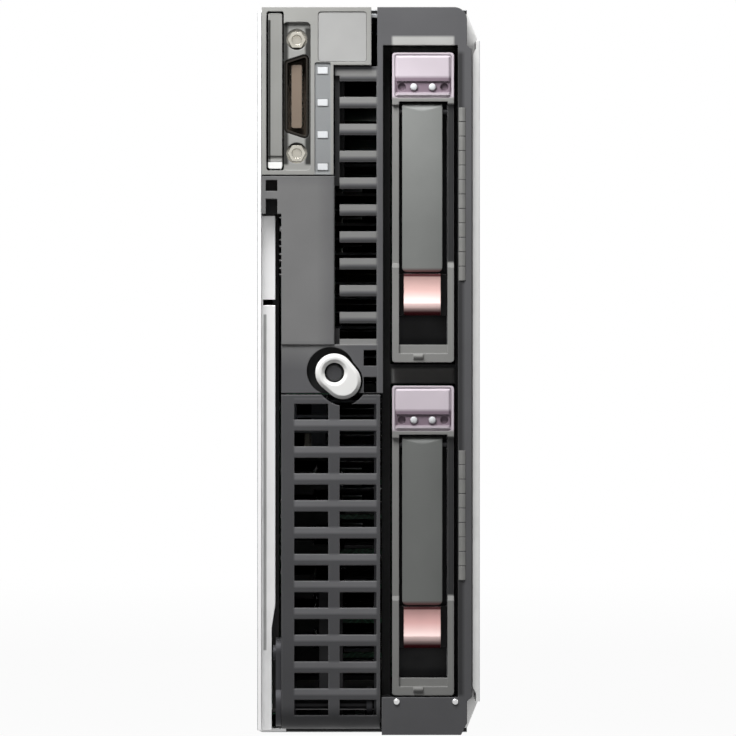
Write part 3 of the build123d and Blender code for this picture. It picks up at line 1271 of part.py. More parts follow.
def chipset_heatsink():
    """Low finned heatsink on the chipset, in front of the memory."""
    z0 = MID_Z - CHIPSET_W / 2
    section = rect(BOARD_X1, BOARD_X1 + SINK_BASE, z0, z0 + CHIPSET_W)
    for index in range(CHIPSET_FINS):
        z = z0 + index * (CHIPSET_W - FIN_T) / (CHIPSET_FINS - 1)
        section += rect(BOARD_X1, BOARD_X1 + CHIPSET_H, z, z + FIN_T)
    return from_front(section, CHIPSET_Y, CHIPSET_Y + CHIPSET_L)


def board_chips():
    """Controller chips on the front and rear of the board."""
    rear_y = CHIPSET_Y + CHIP_SIZE
    places = [(CHIP_Y, BOARD_Z0 + CHIP_EDGE, CHIP_SIZE), (rear_y, BOARD_Z1 - 1.5 * CHIP_EDGE, CHIP_SIZE),
              (rear_y, BOARD_Z0 + CHIP_EDGE, 0.7 * CHIP_SIZE)]
    return group(from_side(rect(y - s / 2, y + s / 2, z - s / 2, z + s / 2, CHIP_R),
                           BOARD_X1, BOARD_X1 + CHIP_H)
                 for y, z, s in places)


def board_capacitors():
    """Cylindrical capacitors beside the processors."""
    cans = []
    for y, z in CPU_PLACES:
        for index in range(CAN_COUNT):
            can_z = z + (index - (CAN_COUNT - 1) / 2) * CAN_PITCH
            cans.append(from_side(disc(y - SINK_L / 2 - CAN_GAP, can_z, CAN_R), BOARD_X1, BOARD_X1 + CAN_H))
    return group(cans)


def coin_cell_holder():
    """Ring-shaped holder of the coin cell."""
    z = MID_Z + CELL_RISE
    cup = from_side(disc(CELL_Y, z, CELL_R + CELL_WALL), BOARD_X1, BOARD_X1 + CELL_CUP_H)
    return cup - from_side(disc(CELL_Y, z, CELL_R + SCREW_FIT),
                           BOARD_X1 + CELL_SEAT, BOARD_X1 + CELL_CUP_H + 1)


def coin_cell():
    """Coin cell lying in its holder."""
    x0 = BOARD_X1 + CELL_SEAT
    return from_side(disc(CELL_Y, MID_Z + CELL_RISE, CELL_R), x0, x0 + CELL_T)


def mezzanine_places():
    """Lower edges of the two mezzanine cards."""
    return [BOARD_Z0 + MEZZ_EDGE, BOARD_Z1 - MEZZ_EDGE - MEZZ_W]


def mezzanine_connectors():
    """Stacking connectors under the mezzanine cards."""
    y0 = MEZZ_Y0 + STACK_Y
    return group(block(BOARD_X1, BOARD_X1 + MEZZ_H, y0, y0 + STACK_W, z + MEZZ_INSET, z + MEZZ_W - MEZZ_INSET)
                 for z in mezzanine_places())


def mezzanine_card(z0):
    """Plug-in card with a chip and a small finned heatsink."""
    x0 = BOARD_X1 + MEZZ_H
    card = block(x0, x0 + BOARD_T, MEZZ_Y0, MEZZ_Y1, z0, z0 + MEZZ_W)
    sink_z = z0 + MEZZ_SINK_Z
    sink = rect(x0, x0 + BOARD_T + MEZZ_SINK_BASE, sink_z, sink_z + MEZZ_SINK_W)
    for index in range(MEZZ_FINS):
        z = sink_z + index * (MEZZ_SINK_W - FIN_T) / (MEZZ_FINS - 1)
        sink += rect(x0, x0 + BOARD_T + MEZZ_SINK_H, z, z + FIN_T)
    return card + from_front(sink, MEZZ_Y0 + MEZZ_SINK_END, MEZZ_Y1 - MEZZ_SINK_END)


def tail_connector(z0, z1, height, rows, columns):
    """Rear connector body with a collar inside the rear wall and a grid of contact openings in its end."""
    body = block(BOARD_X1, TAIL_X1, BOARD_Y1 - TAIL_SEAT, FACE_TO_TAIL, z0, z1)
    collar = rect(BOARD_X1 - COLLAR_W, TAIL_X1 + COLLAR_W, z0 - COLLAR_W, z1 + COLLAR_W)
    collar_y1 = TRAY_REAR - SHEET
    body += from_front(collar, collar_y1 - COLLAR_T, collar_y1)
    openings = Sketch()
    step_x = (TAIL_W - 2 * CONTACT_EDGE) / columns
    step_z = (height - 2 * CONTACT_EDGE) / rows
    reach_x = step_x * CONTACT_SHARE / 2
    reach_z = step_z * CONTACT_SHARE / 2
    for row in range(rows):
        for column in range(columns):
            x = BOARD_X1 + CONTACT_EDGE + step_x * (column + 0.5)
            z = z0 + CONTACT_EDGE + step_z * (row + 0.5)
            openings += rect(x - reach_x, x + reach_x, z - reach_z, z + reach_z)
    return body - from_front(openings, FACE_TO_TAIL - CONTACT_DEPTH, FACE_TO_TAIL + 1)


def signal_connector():
    """Rear signal connector with a guide socket at its head."""
    body = tail_connector(SIGNAL_Z0, SIGNAL_TOP, SIGNAL_H, SIGNAL_ROWS, SIGNAL_COLUMNS)
    socket = disc(BOARD_X1 + TAIL_W / 2, SIGNAL_TOP - GUIDE_BODY, GUIDE_R)
    return body - from_front(socket, FACE_TO_TAIL - TAIL_LEAD, FACE_TO_TAIL + 1)


def power_connector():
    """Rear power connector with blade openings."""
    return tail_connector(POWER_Z0, POWER_Z0 + POWER_H, POWER_H, POWER_ROWS, POWER_COLUMNS)


def memory_baffles():
    """Folded plastic covers that steer air along the memory banks."""
    covers = []
    x1 = BOARD_X1 + SEAT_H + MODULE_H + BAFFLE_GAP
    for y, z in BANK_PLACES:
        z0 = z - BAFFLE_GAP
        z1 = z + BANK_W + BAFFLE_GAP
        section = rect(BOARD_X1, x1, z0 - BAFFLE_T, z1 + BAFFLE_T) - rect(BOARD_X1 - 1, x1 - BAFFLE_T, z0, z1)
        covers.append(from_front(section, y + BAFFLE_END, y + HOLDER_L - BAFFLE_END))
    return group(covers)


def drive_pieces(prefix, floor):
    """Every piece of one drive, by name."""
    return {
        prefix + "_carrier": drive_carrier(floor),
        prefix + "_disk": hard_drive(floor),
        prefix + "_lever": drive_lever(floor),
        prefix + "_lever_pin": drive_lever_pin(floor),
        prefix + "_button": drive_button(floor),
        prefix + "_lamp_block": drive_lamp_block(floor),
    }


def all_pieces():
    """Every piece of the blade, by name."""
    pieces = {
        "chassis_tray": chassis_tray(),
        "front_side_cover": front_side_cover(),
        "rear_panel": rear_panel(),
        "drive_cage": drive_cage(),
        "front_bezel": front_bezel(),
        "service_panel": service_panel(),
        "name_plate": name_plate(),
        "status_lamps": status_lamps(),
        "io_connector_shell": io_connector_shell(),
        "io_connector_insert": io_connector_insert(),
        "io_jackscrews": io_jackscrews(),
        "front_board": front_board(),
        "power_switch": power_switch(),
        "lever_bracket": lever_bracket(),
        "lever_pivot_pin": lever_pivot_pin(),
        "lever_spring": lever_spring(),
        "system_board": system_board(),
        "board_standoffs": board_standoffs(),
        "board_screws": board_screws(),
        "processor_sockets": processor_sockets(),
        "processors": processors(),
        "heatsink_1": heatsink(CPU_PLACES[0]),
        "heatsink_2": heatsink(CPU_PLACES[1]),
        "heatsink_screws": heatsink_screws(),
        "memory_sockets": memory_sockets(),
        "memory_modules": memory_modules(),
        "chipset_heatsink": chipset_heatsink(),
        "board_chips": board_chips(),
        "board_capacitors": board_capacitors(),
        "coin_cell_holder": coin_cell_holder(),
        "coin_cell": coin_cell(),
        "mezzanine_connectors": mezzanine_connectors(),
        "mezzanine_card_1": mezzanine_card(mezzanine_places()[0]),
        "mezzanine_card_2": mezzanine_card(mezzanine_places()[1]),
        "signal_connector": signal_connector(),
        "power_connector": power_connector(),
        "drive_backplane": drive_backplane(),
        "drive_receptacles": drive_receptacles(),
        "memory_baffles": memory_baffles(),
        "chassis_screws": group(chassis_screws()),
        "release_lever": release_lever(),
        "lever_cheeks": lever_cheeks(),
        "lever_hook": lever_hook(),
        "release_button": release_button(),
        "power_button": power_button(),
        "label_tab": label_tab(),
        "access_panel": access_panel(),
        "panel_release_button": panel_release_button(),
    }
    pieces.update(drive_pieces("drive_1", BAY_FLOORS[1]))
    pieces.update(drive_pieces("drive_2", BAY_FLOORS[0]))
    return pieces


def main():
    """Write one STEP file for each piece, moved to the shared origin."""
    os.makedirs("parts", exist_ok=True)
    for name, shape in all_pieces().items():
        export_step(Pos(0, -MID_Y, 0) * shape, "parts/" + name + ".step")


if __name__ == "__main__":
    main()
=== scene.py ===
# %% [markdown]
# A half-height blade server, dressed for a studio picture. The solids arrive ready made from the CAD
# frame: steel tray, moulded bezel, lever, drives and boards. This lesson gives each of them the finish of
# its real material, adds the small trim that CAD leaves out, and sets the camera where the photographer
# stood.

# %% Load the frame
import json
import math
import random

import bmesh
import bpy
from mathutils import Matrix, Vector


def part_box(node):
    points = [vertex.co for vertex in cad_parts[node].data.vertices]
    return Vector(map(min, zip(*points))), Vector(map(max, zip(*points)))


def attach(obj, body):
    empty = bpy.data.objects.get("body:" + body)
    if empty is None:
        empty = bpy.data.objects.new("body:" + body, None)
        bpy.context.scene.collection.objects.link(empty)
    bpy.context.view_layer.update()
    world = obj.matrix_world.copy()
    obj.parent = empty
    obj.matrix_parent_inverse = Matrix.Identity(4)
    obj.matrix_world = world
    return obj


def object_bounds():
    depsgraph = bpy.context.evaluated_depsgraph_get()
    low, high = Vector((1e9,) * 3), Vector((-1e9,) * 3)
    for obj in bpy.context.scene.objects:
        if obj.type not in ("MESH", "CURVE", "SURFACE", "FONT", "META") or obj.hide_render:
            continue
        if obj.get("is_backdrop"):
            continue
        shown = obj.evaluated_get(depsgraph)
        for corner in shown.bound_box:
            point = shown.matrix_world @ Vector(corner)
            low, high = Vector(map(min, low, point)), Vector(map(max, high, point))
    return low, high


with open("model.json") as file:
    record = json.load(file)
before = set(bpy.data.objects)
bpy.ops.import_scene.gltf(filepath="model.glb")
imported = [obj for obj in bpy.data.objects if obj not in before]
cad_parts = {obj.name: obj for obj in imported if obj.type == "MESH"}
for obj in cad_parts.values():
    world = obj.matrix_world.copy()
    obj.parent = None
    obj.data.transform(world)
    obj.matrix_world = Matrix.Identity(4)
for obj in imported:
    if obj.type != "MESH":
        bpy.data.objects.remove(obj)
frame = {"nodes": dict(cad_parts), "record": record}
nodes = frame["nodes"]
cad_low, cad_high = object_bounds()
MM = 0.001
print("nodes", len(nodes), "size mm", [round(v / MM, 1) for v in cad_high - cad_low])

# %% [markdown]
# Colours are read off the object as sRGB hex values, but shaders count in linear light. One function
# makes the change. Another adds a node, sets its properties, fills or links its inputs and gives back one
# of its outputs, so that every material below reads as a short list of what is mixed with what.

# %% Colour and node helpers
def linear(hex_code):
    """Linear colour of an sRGB hex value such as 8a8b89, with full alpha."""
    parts = [int(hex_code[i:i + 2], 16) / 255 for i in (0, 2, 4)]
    return [c / 12.92 if c <= 0.04045 else ((c + 0.055) / 1.055) ** 2.4 for c in parts] + [1.0]


def add_node(tree, kind, inputs=None, out=None, **settings):
    """Adds a node with its settings, fills or links its inputs and gives the named output or the first."""
    node = tree.nodes.new(kind)
    for name, value in settings.items():
        setattr(node, name, value)
    for key, value in (inputs or {}).items():
        if isinstance(value, bpy.types.NodeSocket):
            tree.links.new(value, node.inputs[key])
        else:
            node.inputs[key].default_value = value
    usable = [socket for socket in node.outputs if not socket.is_unavailable]
    return node.outputs[out] if out else next(iter(usable), None)


def per_mm(size):
    """Texture scale at which one feature of a pattern is about that many millimetres wide."""
    return 1.0 / (size * MM)


def begin(name, colour, roughness, metallic=0.0):
    """A material with its shader set to plain values, the shader and the object's own coordinates."""
    material = bpy.data.materials.new(name)
    material.use_nodes = True
    tree = material.node_tree
    shader = tree.nodes["Principled BSDF"]
    shader.inputs["Base Color"].default_value = linear(colour)
    shader.inputs["Roughness"].default_value = roughness
    shader.inputs["Metallic"].default_value = metallic
    place = add_node(tree, "ShaderNodeTexCoord", out="Object")
    return material, tree, shader, place


print("mid grey 808080 in linear light", round(linear("808080")[0], 3))

# %% [markdown]
# Edges tell the eye how a thing was made. A moulding has soft edges that catch a thin line of light, and
# handling rubs them paler. A bevel modifier would add faces to every solid. Cycles can instead round the
# shading normal inside a given radius, and where that rounded normal leaves the true one there is an
# edge. One node then gives both the soft edge and the mask of its wear.

# %% Soft edges
FLAT_TURN = 0.995
EDGE_TURN = 0.8
EDGE_SAMPLES = 4


def soft_edges(tree, radius_mm, wear):
    """Rounded normal, and a mask that is wear at the edges and 0 on flat faces."""
    rounded = add_node(tree, "ShaderNodeBevel", {"Radius": radius_mm * MM}, samples=EDGE_SAMPLES)
    true = add_node(tree, "ShaderNodeNewGeometry", out="Normal")
    turn = add_node(tree, "ShaderNodeVectorMath", {0: rounded, 1: true}, operation="DOT_PRODUCT")
    ramp = {"Value": turn, "From Min": FLAT_TURN, "From Max": EDGE_TURN, "To Max": wear}
    return rounded, add_node(tree, "ShaderNodeMapRange", ramp)


print("edges fade out where the normals agree to", FLAT_TURN)

# %% [markdown]
# Some mouldings carry a second colour. A second material would need the solid's faces cut along its
# border. A box of limits needs no cut: a node's own coordinates are its place on the resting blade, so
# the box marks where the colour goes, and it stays there when a drive slides out. An axis may be named
# twice, as Z and Z_rows, to mark the same part of every bar within a longer stretch.

# %% Areas of another colour
CRISP = 0.05 * MM
SPRAYED = 0.3 * MM


def inside(tree, place, limits, soft):
    """Mask that is 1 between the limits given for each axis, in metres, and fades over the soft distance.
    Limits with a third value repeat at that pitch."""
    axes = add_node(tree, "ShaderNodeSeparateXYZ", {"Vector": place}).node.outputs
    mask = 1.0
    for axis, (low, high, *pitch) in limits.items():
        value = axes[axis[0]]
        if pitch:
            start = (low + high - pitch[0]) / 2
            span = {0: value, 1: start + pitch[0], 2: start}
            value = add_node(tree, "ShaderNodeMath", span, operation="WRAP")
        for edge, fade in ((low, soft), (high, -soft)):
            ramp = {"Value": value, "From Min": edge - fade, "From Max": edge + fade}
            step = add_node(tree, "ShaderNodeMapRange", ramp)
            mask = add_node(tree, "ShaderNodeMath", {0: mask, 1: step}, operation="MULTIPLY")
    return mask


def recolour(tree, place, paint, areas):
    """Lays other colours over a paint, each in its own box of limits and with its own softness."""
    for limits, other, soft in areas:
        layers = {"Factor": inside(tree, place, limits, soft), "A": paint, "B": linear(other)}
        paint = add_node(tree, "ShaderNodeMix", layers, data_type="RGBA")
    return paint


print("a sprayed border fades over mm", SPRAYED / MM)

# %% [markdown]
# The bezel, the lever and most small pieces of the front are injection-moulded plastic. Their tools are
# spark-eroded, which leaves a fine matt grain about a third of a millimetre across, drawn here at half a
# millimetre so that it shows. Flow through the mould leaves broad faint clouds in the colour, and
# handling polishes the grain in patches. Noise in the object's own coordinates gives all three without a
# seam, where an image would need unwrapping. Noise keeps near its middle value, so a named range of it is
# spread over the wanted change. The last argument lists areas of another colour, each as a box of limits,
# a colour and a softness.

# %% Moulded plastic
MATT_GLOSS = 0.25
CLOUD_MM = 22
CLOUD_RANGE = (0.25, 0.75)
POLISH_MM = 9
POLISH_RANGE = (0.3, 0.7)
POLISH_SPREAD = 0.06
PIT_DEPTH = 0.08 * MM
RUBBED_PALER = 0.35


def moulded(name, colour, roughness, grain_mm=0.5, grain=0.12, wear=0.18, edge_mm=0.35, cloud=0.12,
            areas=()):
    """Injection-moulded plastic with a spark-eroded grain, clouds in its colour and paler edges."""
    material, tree, shader, place = begin(name, colour, roughness)
    shader.inputs["Specular IOR Level"].default_value = MATT_GLOSS
    rounded, worn = soft_edges(tree, edge_mm, wear)
    base = linear(colour)
    paint = add_node(tree, "ShaderNodeRGB")
    paint.default_value = base
    paint = recolour(tree, place, paint, areas)
    flow = {"Vector": place, "Scale": per_mm(CLOUD_MM), "Detail": 4.0}
    clouds = add_node(tree, "ShaderNodeTexNoise", flow)
    spread = {"Value": clouds, "From Min": CLOUD_RANGE[0], "From Max": CLOUD_RANGE[1],
              "To Min": 1 - cloud, "To Max": 1 + cloud}
    shade = add_node(tree, "ShaderNodeMapRange", spread)
    tint = add_node(tree, "ShaderNodeVectorMath", {0: paint, "Scale": shade}, operation="SCALE")
    pale = [c + (1 - c) * RUBBED_PALER for c in base[:3]] + [1.0]
    edged = add_node(tree, "ShaderNodeMix", {"Factor": worn, "A": tint, "B": pale}, data_type="RGBA")
    tree.links.new(edged, shader.inputs["Base Color"])
    patches = {"Vector": place, "Scale": per_mm(POLISH_MM), "Detail": 3.0}
    polish = add_node(tree, "ShaderNodeTexNoise", patches)
    spread = {"Value": polish, "From Min": POLISH_RANGE[0], "From Max": POLISH_RANGE[1],
              "To Min": roughness - POLISH_SPREAD, "To Max": roughness + POLISH_SPREAD}
    tree.links.new(add_node(tree, "ShaderNodeMapRange", spread), shader.inputs["Roughness"])
    sparks = {"Vector": place, "Scale": per_mm(grain_mm), "Detail": 2.0}
    pits = add_node(tree, "ShaderNodeTexNoise", sparks)
    relief = {"Height": pits, "Strength": grain, "Distance": PIT_DEPTH, "Normal": rounded}
    tree.links.new(add_node(tree, "ShaderNodeBump", relief), shader.inputs["Normal"])
    return material


FINISHES = {}
print("moulded plastic ready, clouds mm", CLOUD_MM)

# %% [markdown]
# The bezel and the lever share one row of ventilation bars. Light from above falls on the bars, so a
# painted highlight pales their upper halves and painted shade darkens their lower edges. A box for each
# bar would make a long list, so one box repeats at the bars' pitch. The pitch is worked out from the
# lever's height and its twelve rows, the last one counted half.

# %% Rows of bars
VENT_FIRST = 7.0 * MM
VENT_BAR = 2.8 * MM
LEVER_BROW = 0.9 * MM
LEVER_ROWS = 12
HALF_ROW = 0.5
LIT_SHARE = 0.55
SHADED_SHARE = 0.25
BARS_W = 11 * MM
BARS_ASIDE = 0.9 * MM

lever_low, lever_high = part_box("release_lever")
vent_pitch = (lever_high.z - LEVER_BROW - VENT_FIRST) / (LEVER_ROWS - HALF_ROW)
bar_top = VENT_FIRST + (vent_pitch + VENT_BAR) / 2
# Painted highlight on the upper half of each bar, painted shade along its lower edge.
lit_half = (bar_top - VENT_BAR * LIT_SHARE, bar_top, vent_pitch)
shaded_edge = (bar_top - VENT_BAR, bar_top - VENT_BAR * (1 - SHADED_SHARE), vent_pitch)
bars_x = (lever_high.x - BARS_W, lever_high.x - BARS_ASIDE)
print("bar pitch mm", round(vent_pitch / MM, 2))

# %% [markdown]
# The bezel is charcoal. Its plain panel at the left comes from a smoother insert in the tool and looks a
# shade paler than the blocks above and below the drives. Painted shade darkens every slot and recess from
# two millimetres or so behind the front. Pale grey painted on the shelf between the drives and the strip
# over them stands for light reaching into the bay. At the right a dark band of painted shade runs beside
# the drives, under the contact strips.

# %% Bezel
BEZEL_SHADE_DEPTH = 2.1 * MM
PANEL_FADE = 4 * MM
PANEL_FOOT = 10 * MM
PANEL_RIM = 1.2 * MM
GRILLE_FOOT = 12 * MM
BAY_SHADE_W = 2.3 * MM
BAY_SHADE_FADE = 0.5 * MM
HEAD_STRIP = 4 * MM
SHELF_GAP_ABOVE = 1.5 * MM
SHELF_GAP_BELOW = 0.6 * MM

bezel_low, bezel_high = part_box("front_bezel")
service_low, service_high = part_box("service_panel")
lamps_low, lamps_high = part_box("status_lamps")
upper_low, upper_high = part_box("drive_1_carrier")
lower_low, lower_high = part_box("drive_2_carrier")
bay_x = (upper_low.x, upper_high.x)
panel_field = {"X": (bezel_low.x - MM, lamps_high.x + PANEL_RIM),
               "Z": (lever_high.z + PANEL_FOOT, service_low.z + MM)}
# Painted shade: a dark band on the bezel beside the drives.
bay_side_shade = {"X": (upper_high.x, upper_high.x + BAY_SHADE_W), "Z": (lower_low.z, upper_high.z)}
grille = {"X": bars_x, "Z": (lever_high.z + GRILLE_FOOT, lamps_high.z)}
# Painted shade: dark everywhere more than two millimetres behind the front face.
bezel_recess_shade = {"Y": (bezel_low.y + BEZEL_SHADE_DEPTH, bezel_high.y + MM)}
# Painted light: pale grey on the strip over the drives and on the shelf between them, which lie in deep
# shade.
bay_head_light = {"X": bay_x, "Z": (upper_high.z, upper_high.z + HEAD_STRIP)}
bay_shelf_light = {"X": bay_x, "Z": (lower_high.z + SHELF_GAP_BELOW, upper_low.z - SHELF_GAP_ABOVE)}

# PC-ABS blend from a spark-eroded tool: dead matt, so that only its edges draw lines of light.
FINISHES["bezel_plastic"] = moulded(
    "moulded_pc_abs_charcoal", "555557", 0.55,
    areas=[(panel_field, "727272", PANEL_FADE), (bay_side_shade, "2a2a2b", BAY_SHADE_FADE),
           ({**grille, "Z_rows": lit_half}, "828281", SPRAYED),
           ({**grille, "Z_rows": shaded_edge}, "2a2a2b", SPRAYED),
           (bezel_recess_shade, "1f1f20", SPRAYED), (bay_head_light, "acacaa", SPRAYED),
           (bay_shelf_light, "acacaa", SPRAYED)])
print("bezel in", FINISHES["bezel_plastic"].name)

# %% [markdown]
# The release lever is a grille of the same plastic in a darker charcoal. Hands pull it open, so its edges
# are rounder and paler than the bezel's. Its bars carry a painted highlight on their upper halves, and
# painted shade darkens the gaps between them from further behind the front than on the bezel. The
# function for the bezel serves here too, as only the colours, the wear and the areas differ.

# %% Release lever
LEVER_SHADE_DEPTH = 4.5 * MM
LEVER_FRAME = 3.2 * MM
LEVER_FOOT = 6 * MM

# Painted highlight on the upper half of each of the lever's bars.
lever_bar_highlights = {"X": (lever_low.x + LEVER_FRAME, lever_high.x - BARS_ASIDE),
              "Z": (lever_low.z + LEVER_FOOT, lever_high.z - MM), "Z_rows": lit_half}
# Painted shade between the lever's bars, deeper than its front.
lever_recess_shade = {"Y": (lever_low.y + LEVER_SHADE_DEPTH, lever_high.y + MM)}

# PC-ABS blend, handled: the grain is polished a little, and the rubbed edges show as pale lines.
FINISHES["lever_plastic"] = moulded(
    "moulded_pc_abs_grille", "464648", 0.5, wear=0.3, edge_mm=0.5,
    areas=[(lever_bar_highlights, "6a6a6c", SPRAYED), (lever_recess_shade, "161617", SPRAYED)])
print("lever in", FINISHES["lever_plastic"].name)

# %% [markdown]
# The service panel is a lighter grey moulding. A blue-grey field surrounds its four lamps. Painted shade
# darkens the narrow gap along the left of the label tab and the recess along both sides of the console
# connector, as areas of another colour.

# %% Service panel
FIELD_MARGIN = 0.7 * MM
PORT_SHADE_W = 1.1 * MM
PORT_SHADE_REACH = 0.8 * MM
PORT_SHADE_ABOVE = 6 * MM
PORT_SHADE_BACK = 0.5 * MM
TAB_SHADE_OUT = 0.5 * MM
TAB_SHADE_IN = 0.6 * MM
TIP_H = 1.7 * MM

tab_low, tab_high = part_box("label_tab")
port_low, port_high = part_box("io_connector_shell")
behind_face = (service_low.y + PORT_SHADE_BACK, service_high.y)
# Painted shade in the recess along both long sides of the console connector.
left_port_shade = {"X": (port_low.x - PORT_SHADE_REACH, port_low.x + PORT_SHADE_W), "Y": behind_face,
             "Z": (port_low.z, port_high.z + PORT_SHADE_ABOVE)}
right_port_shade = {"X": (port_high.x - PORT_SHADE_W, port_high.x + PORT_SHADE_REACH), "Y": behind_face,
              "Z": (port_low.z, port_high.z)}
# Painted shade in the gap along the left edge of the label tab.
tab_gap_shade = {"X": (tab_low.x - TAB_SHADE_OUT, tab_low.x + TAB_SHADE_IN),
            "Z": (tab_low.z + TIP_H, tab_high.z - TIP_H)}
lamp_field = {"X": (lamps_low.x - FIELD_MARGIN, lamps_high.x + FIELD_MARGIN),
              "Z": (service_low.z - MM, lamps_high.z + PANEL_RIM)}

# PC-ABS blend, unpainted: a warm mid grey, even and matt.
FINISHES["service_plastic"] = moulded(
    "moulded_pc_abs_grey", "92928f", 0.5,
    areas=[(lamp_field, "868889", CRISP), (left_port_shade, "2c2c2a", SPRAYED), (right_port_shade, "2c2c2a", SPRAYED),
           (tab_gap_shade, "1c1c1b", 2 * CRISP)])
print("service panel in", FINISHES["service_plastic"].name)

# %% [markdown]
# The small mouldings each have their own plastic, chosen for what the piece does: slippery acetal for the
# ring that is pushed, polycarbonate where light has to pass, and tougher or heat-proof kinds inside. They
# differ from the bezel in gloss more than in colour, so the grain and the roughness are what change.

# %% Small mouldings
tab_tip = {"Z": (tab_low.z - MM, tab_low.z + TIP_H)}

# PC-ABS blend from a polished tool: smoother than its neighbours, so it looks almost silver.
FINISHES["name_plate"] = moulded("moulded_pc_abs_pale", "a0a09f", 0.42, grain=0.06, wear=0.15)
# Polypropylene: waxy and tough, scuffed pale at the edges where the tab slides, with a white tip to pull,
# and painted shade along its left edge.
FINISHES["tab_plastic"] = moulded("moulded_pp_tab", "878784", 0.45, wear=0.3,
                                  areas=[(tab_tip, "f0f0ee", CRISP), (tab_gap_shade, "1c1c1b", 2 * CRISP)])
# Acetal: dense, slick and clean white, with hardly any grain.
FINISHES["pale_plastic"] = moulded("moulded_acetal_white", "f0f0ee", 0.32, grain=0.04, wear=0.05,
                                   edge_mm=0.5, cloud=0.03)
# Smoked polycarbonate: nearly polished, dark until its lamp is lit.
FINISHES["power_lens"] = moulded("moulded_pc_smoke", "3c3c3e", 0.25, grain=0.02, wear=0.1, cloud=0.05)
# Frosted polycarbonate: milky, smooth and even.
FINISHES["lens"] = moulded("moulded_pc_frosted", "d4d6d8", 0.3, grain=0.03, wear=0.0, cloud=0.04)
# Liquid-crystal polymer: dull brown, made to stand the heat of soldering.
FINISHES["insert_plastic"] = moulded("moulded_lcp_brown", "75685c", 0.5, wear=0.08)
# PBT polyester: satin black connector bodies.
FINISHES["black_plastic"] = moulded("moulded_pbt_black", "1d1d1f", 0.45, wear=0.05)
# Epoxy moulding compound: the dull, finely gritty black of chip packages.
FINISHES["chip_black"] = moulded("moulded_epoxy_black", "262628", 0.6, grain_mm=0.3, wear=0.1)
print("moulded finishes", len(FINISHES))

# %% [markdown]
# Each drive front is a painted casting, with painted shade in black everywhere deeper than its front.
# Painted shade also darkens the right-hand rail beside the lever. The frame round the lamp block is
# sprayed to match it. A limit in depth is the simplest way to lay the painted shade inside.

# %% Drive carriers
DRIVES = ("drive_1", "drive_2")
CARRIER_SHADE_DEPTH = 2.4 * MM
RAIL_SHADE_W = 2.2 * MM
RAIL_SHADE_START = 3 * MM
RAIL_SHADE_FADE = 0.2 * MM

carrier_areas = []
for drive in DRIVES:
    low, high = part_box(drive + "_carrier")
    # Painted shade on the right-hand rail, beside the lever.
    rail_shade_z = (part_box(drive + "_button")[1].z + RAIL_SHADE_START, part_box(drive + "_lever")[1].z)
    frame_z = (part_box(drive + "_lamp_block")[0].z, high.z + MM)
    carrier_areas.append(({"Z": frame_z}, "c6bcc4", SPRAYED))
    carrier_areas.append(({"X": (high.x - RAIL_SHADE_W, high.x + MM), "Z": rail_shade_z}, "222223", RAIL_SHADE_FADE))
# Painted shade: black everywhere deeper than the drive front.
carrier_recess_shade = {"Y": (upper_low.y + CARRIER_SHADE_DEPTH, upper_high.y + MM)}
carrier_areas.append((carrier_recess_shade, "121213", 2 * CRISP))

# Die-cast zinc under paint: satin, with a faint orange peel and chipped edges.
FINISHES["carrier_metal"] = moulded("painted_die_casting", "828280", 0.42, grain_mm=0.8, grain=0.08,
                                    wear=0.3, areas=carrier_areas)
print("carrier areas", len(carrier_areas))

# %% [markdown]
# A grey-green ejector lever covers most of the drive, over a pink push button and under a lilac block for
# two lamps. Painted shade makes the levers darker towards the bottom, over all of the lower lever and at
# the foot of the upper one, and lays a dark red line at each lever's foot, above the button. The button
# is scooped: painted shade gives its upper half a deeper pink and a dark red line along its top and its
# foot. A purple band runs along the foot of the lamp block. One loop over the drives fills the lists of
# areas, so that both keep the same lines and bands.

# %% Drive levers, buttons and lamp blocks
BAND_H = 4.0 * MM
BAND_UP = 1.1 * MM
BAND_FADE = 0.4 * MM
LINE_H = 0.7 * MM
LINE_FADE = 0.2 * MM
SCOOP_SHADE_FADE = 1.2 * MM
HANDLE_SHADE_FADE = 25 * MM
HANDLE_SHADE_UP = 10 * MM
SCOOP_SHADE = {"drive_1": "ecc4be", "drive_2": "f6c4c0"}

# Painted shade: the levers grow darker towards the bottom.
low_shade_z = (cad_low.z - 2 * HANDLE_SHADE_FADE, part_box("drive_1_lever")[0].z + HANDLE_SHADE_UP)
handle_areas = [({"Z": low_shade_z}, "6c6e6c", HANDLE_SHADE_FADE)]
button_areas = []
block_areas = []
for drive in DRIVES:
    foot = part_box(drive + "_lever")[0].z
    # Painted shade: a dark red line at the foot of the lever, above the button.
    handle_areas.append(({"Z": (foot - MM, foot + LINE_H)}, "4a2c2c", 2 * LINE_FADE))
    low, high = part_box(drive + "_button")
    # Painted shade on the upper half of the button, and dark red lines of it along its top and its foot.
    button_areas.append(({"Z": ((low.z + high.z) / 2, high.z + MM)}, SCOOP_SHADE[drive], SCOOP_SHADE_FADE))
    button_areas.append(({"Z": (high.z - LINE_H, high.z + MM)}, "5c2328", LINE_FADE))
    button_areas.append(({"Z": (low.z - MM, low.z + 2 * LINE_H)}, "5c2328", 3 * LINE_FADE))
    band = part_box(drive + "_lamp_block")[0].z + BAND_UP
    block_areas.append(({"Z": (band, band + BAND_H)}, "7d6e79", BAND_FADE))

# PC-ABS blend, handled: satin, a little green.
FINISHES["handle_plastic"] = moulded("moulded_pc_abs_handle", "828482", 0.48, wear=0.12,
                                     areas=handle_areas)
# Acetal coloured through: slick, with soft highlights along the scoop and painted shade on its upper half.
FINISHES["button_pink"] = moulded("moulded_acetal_pink", "f6d8d4", 0.36, grain=0.04, wear=0.1,
                                  areas=button_areas)
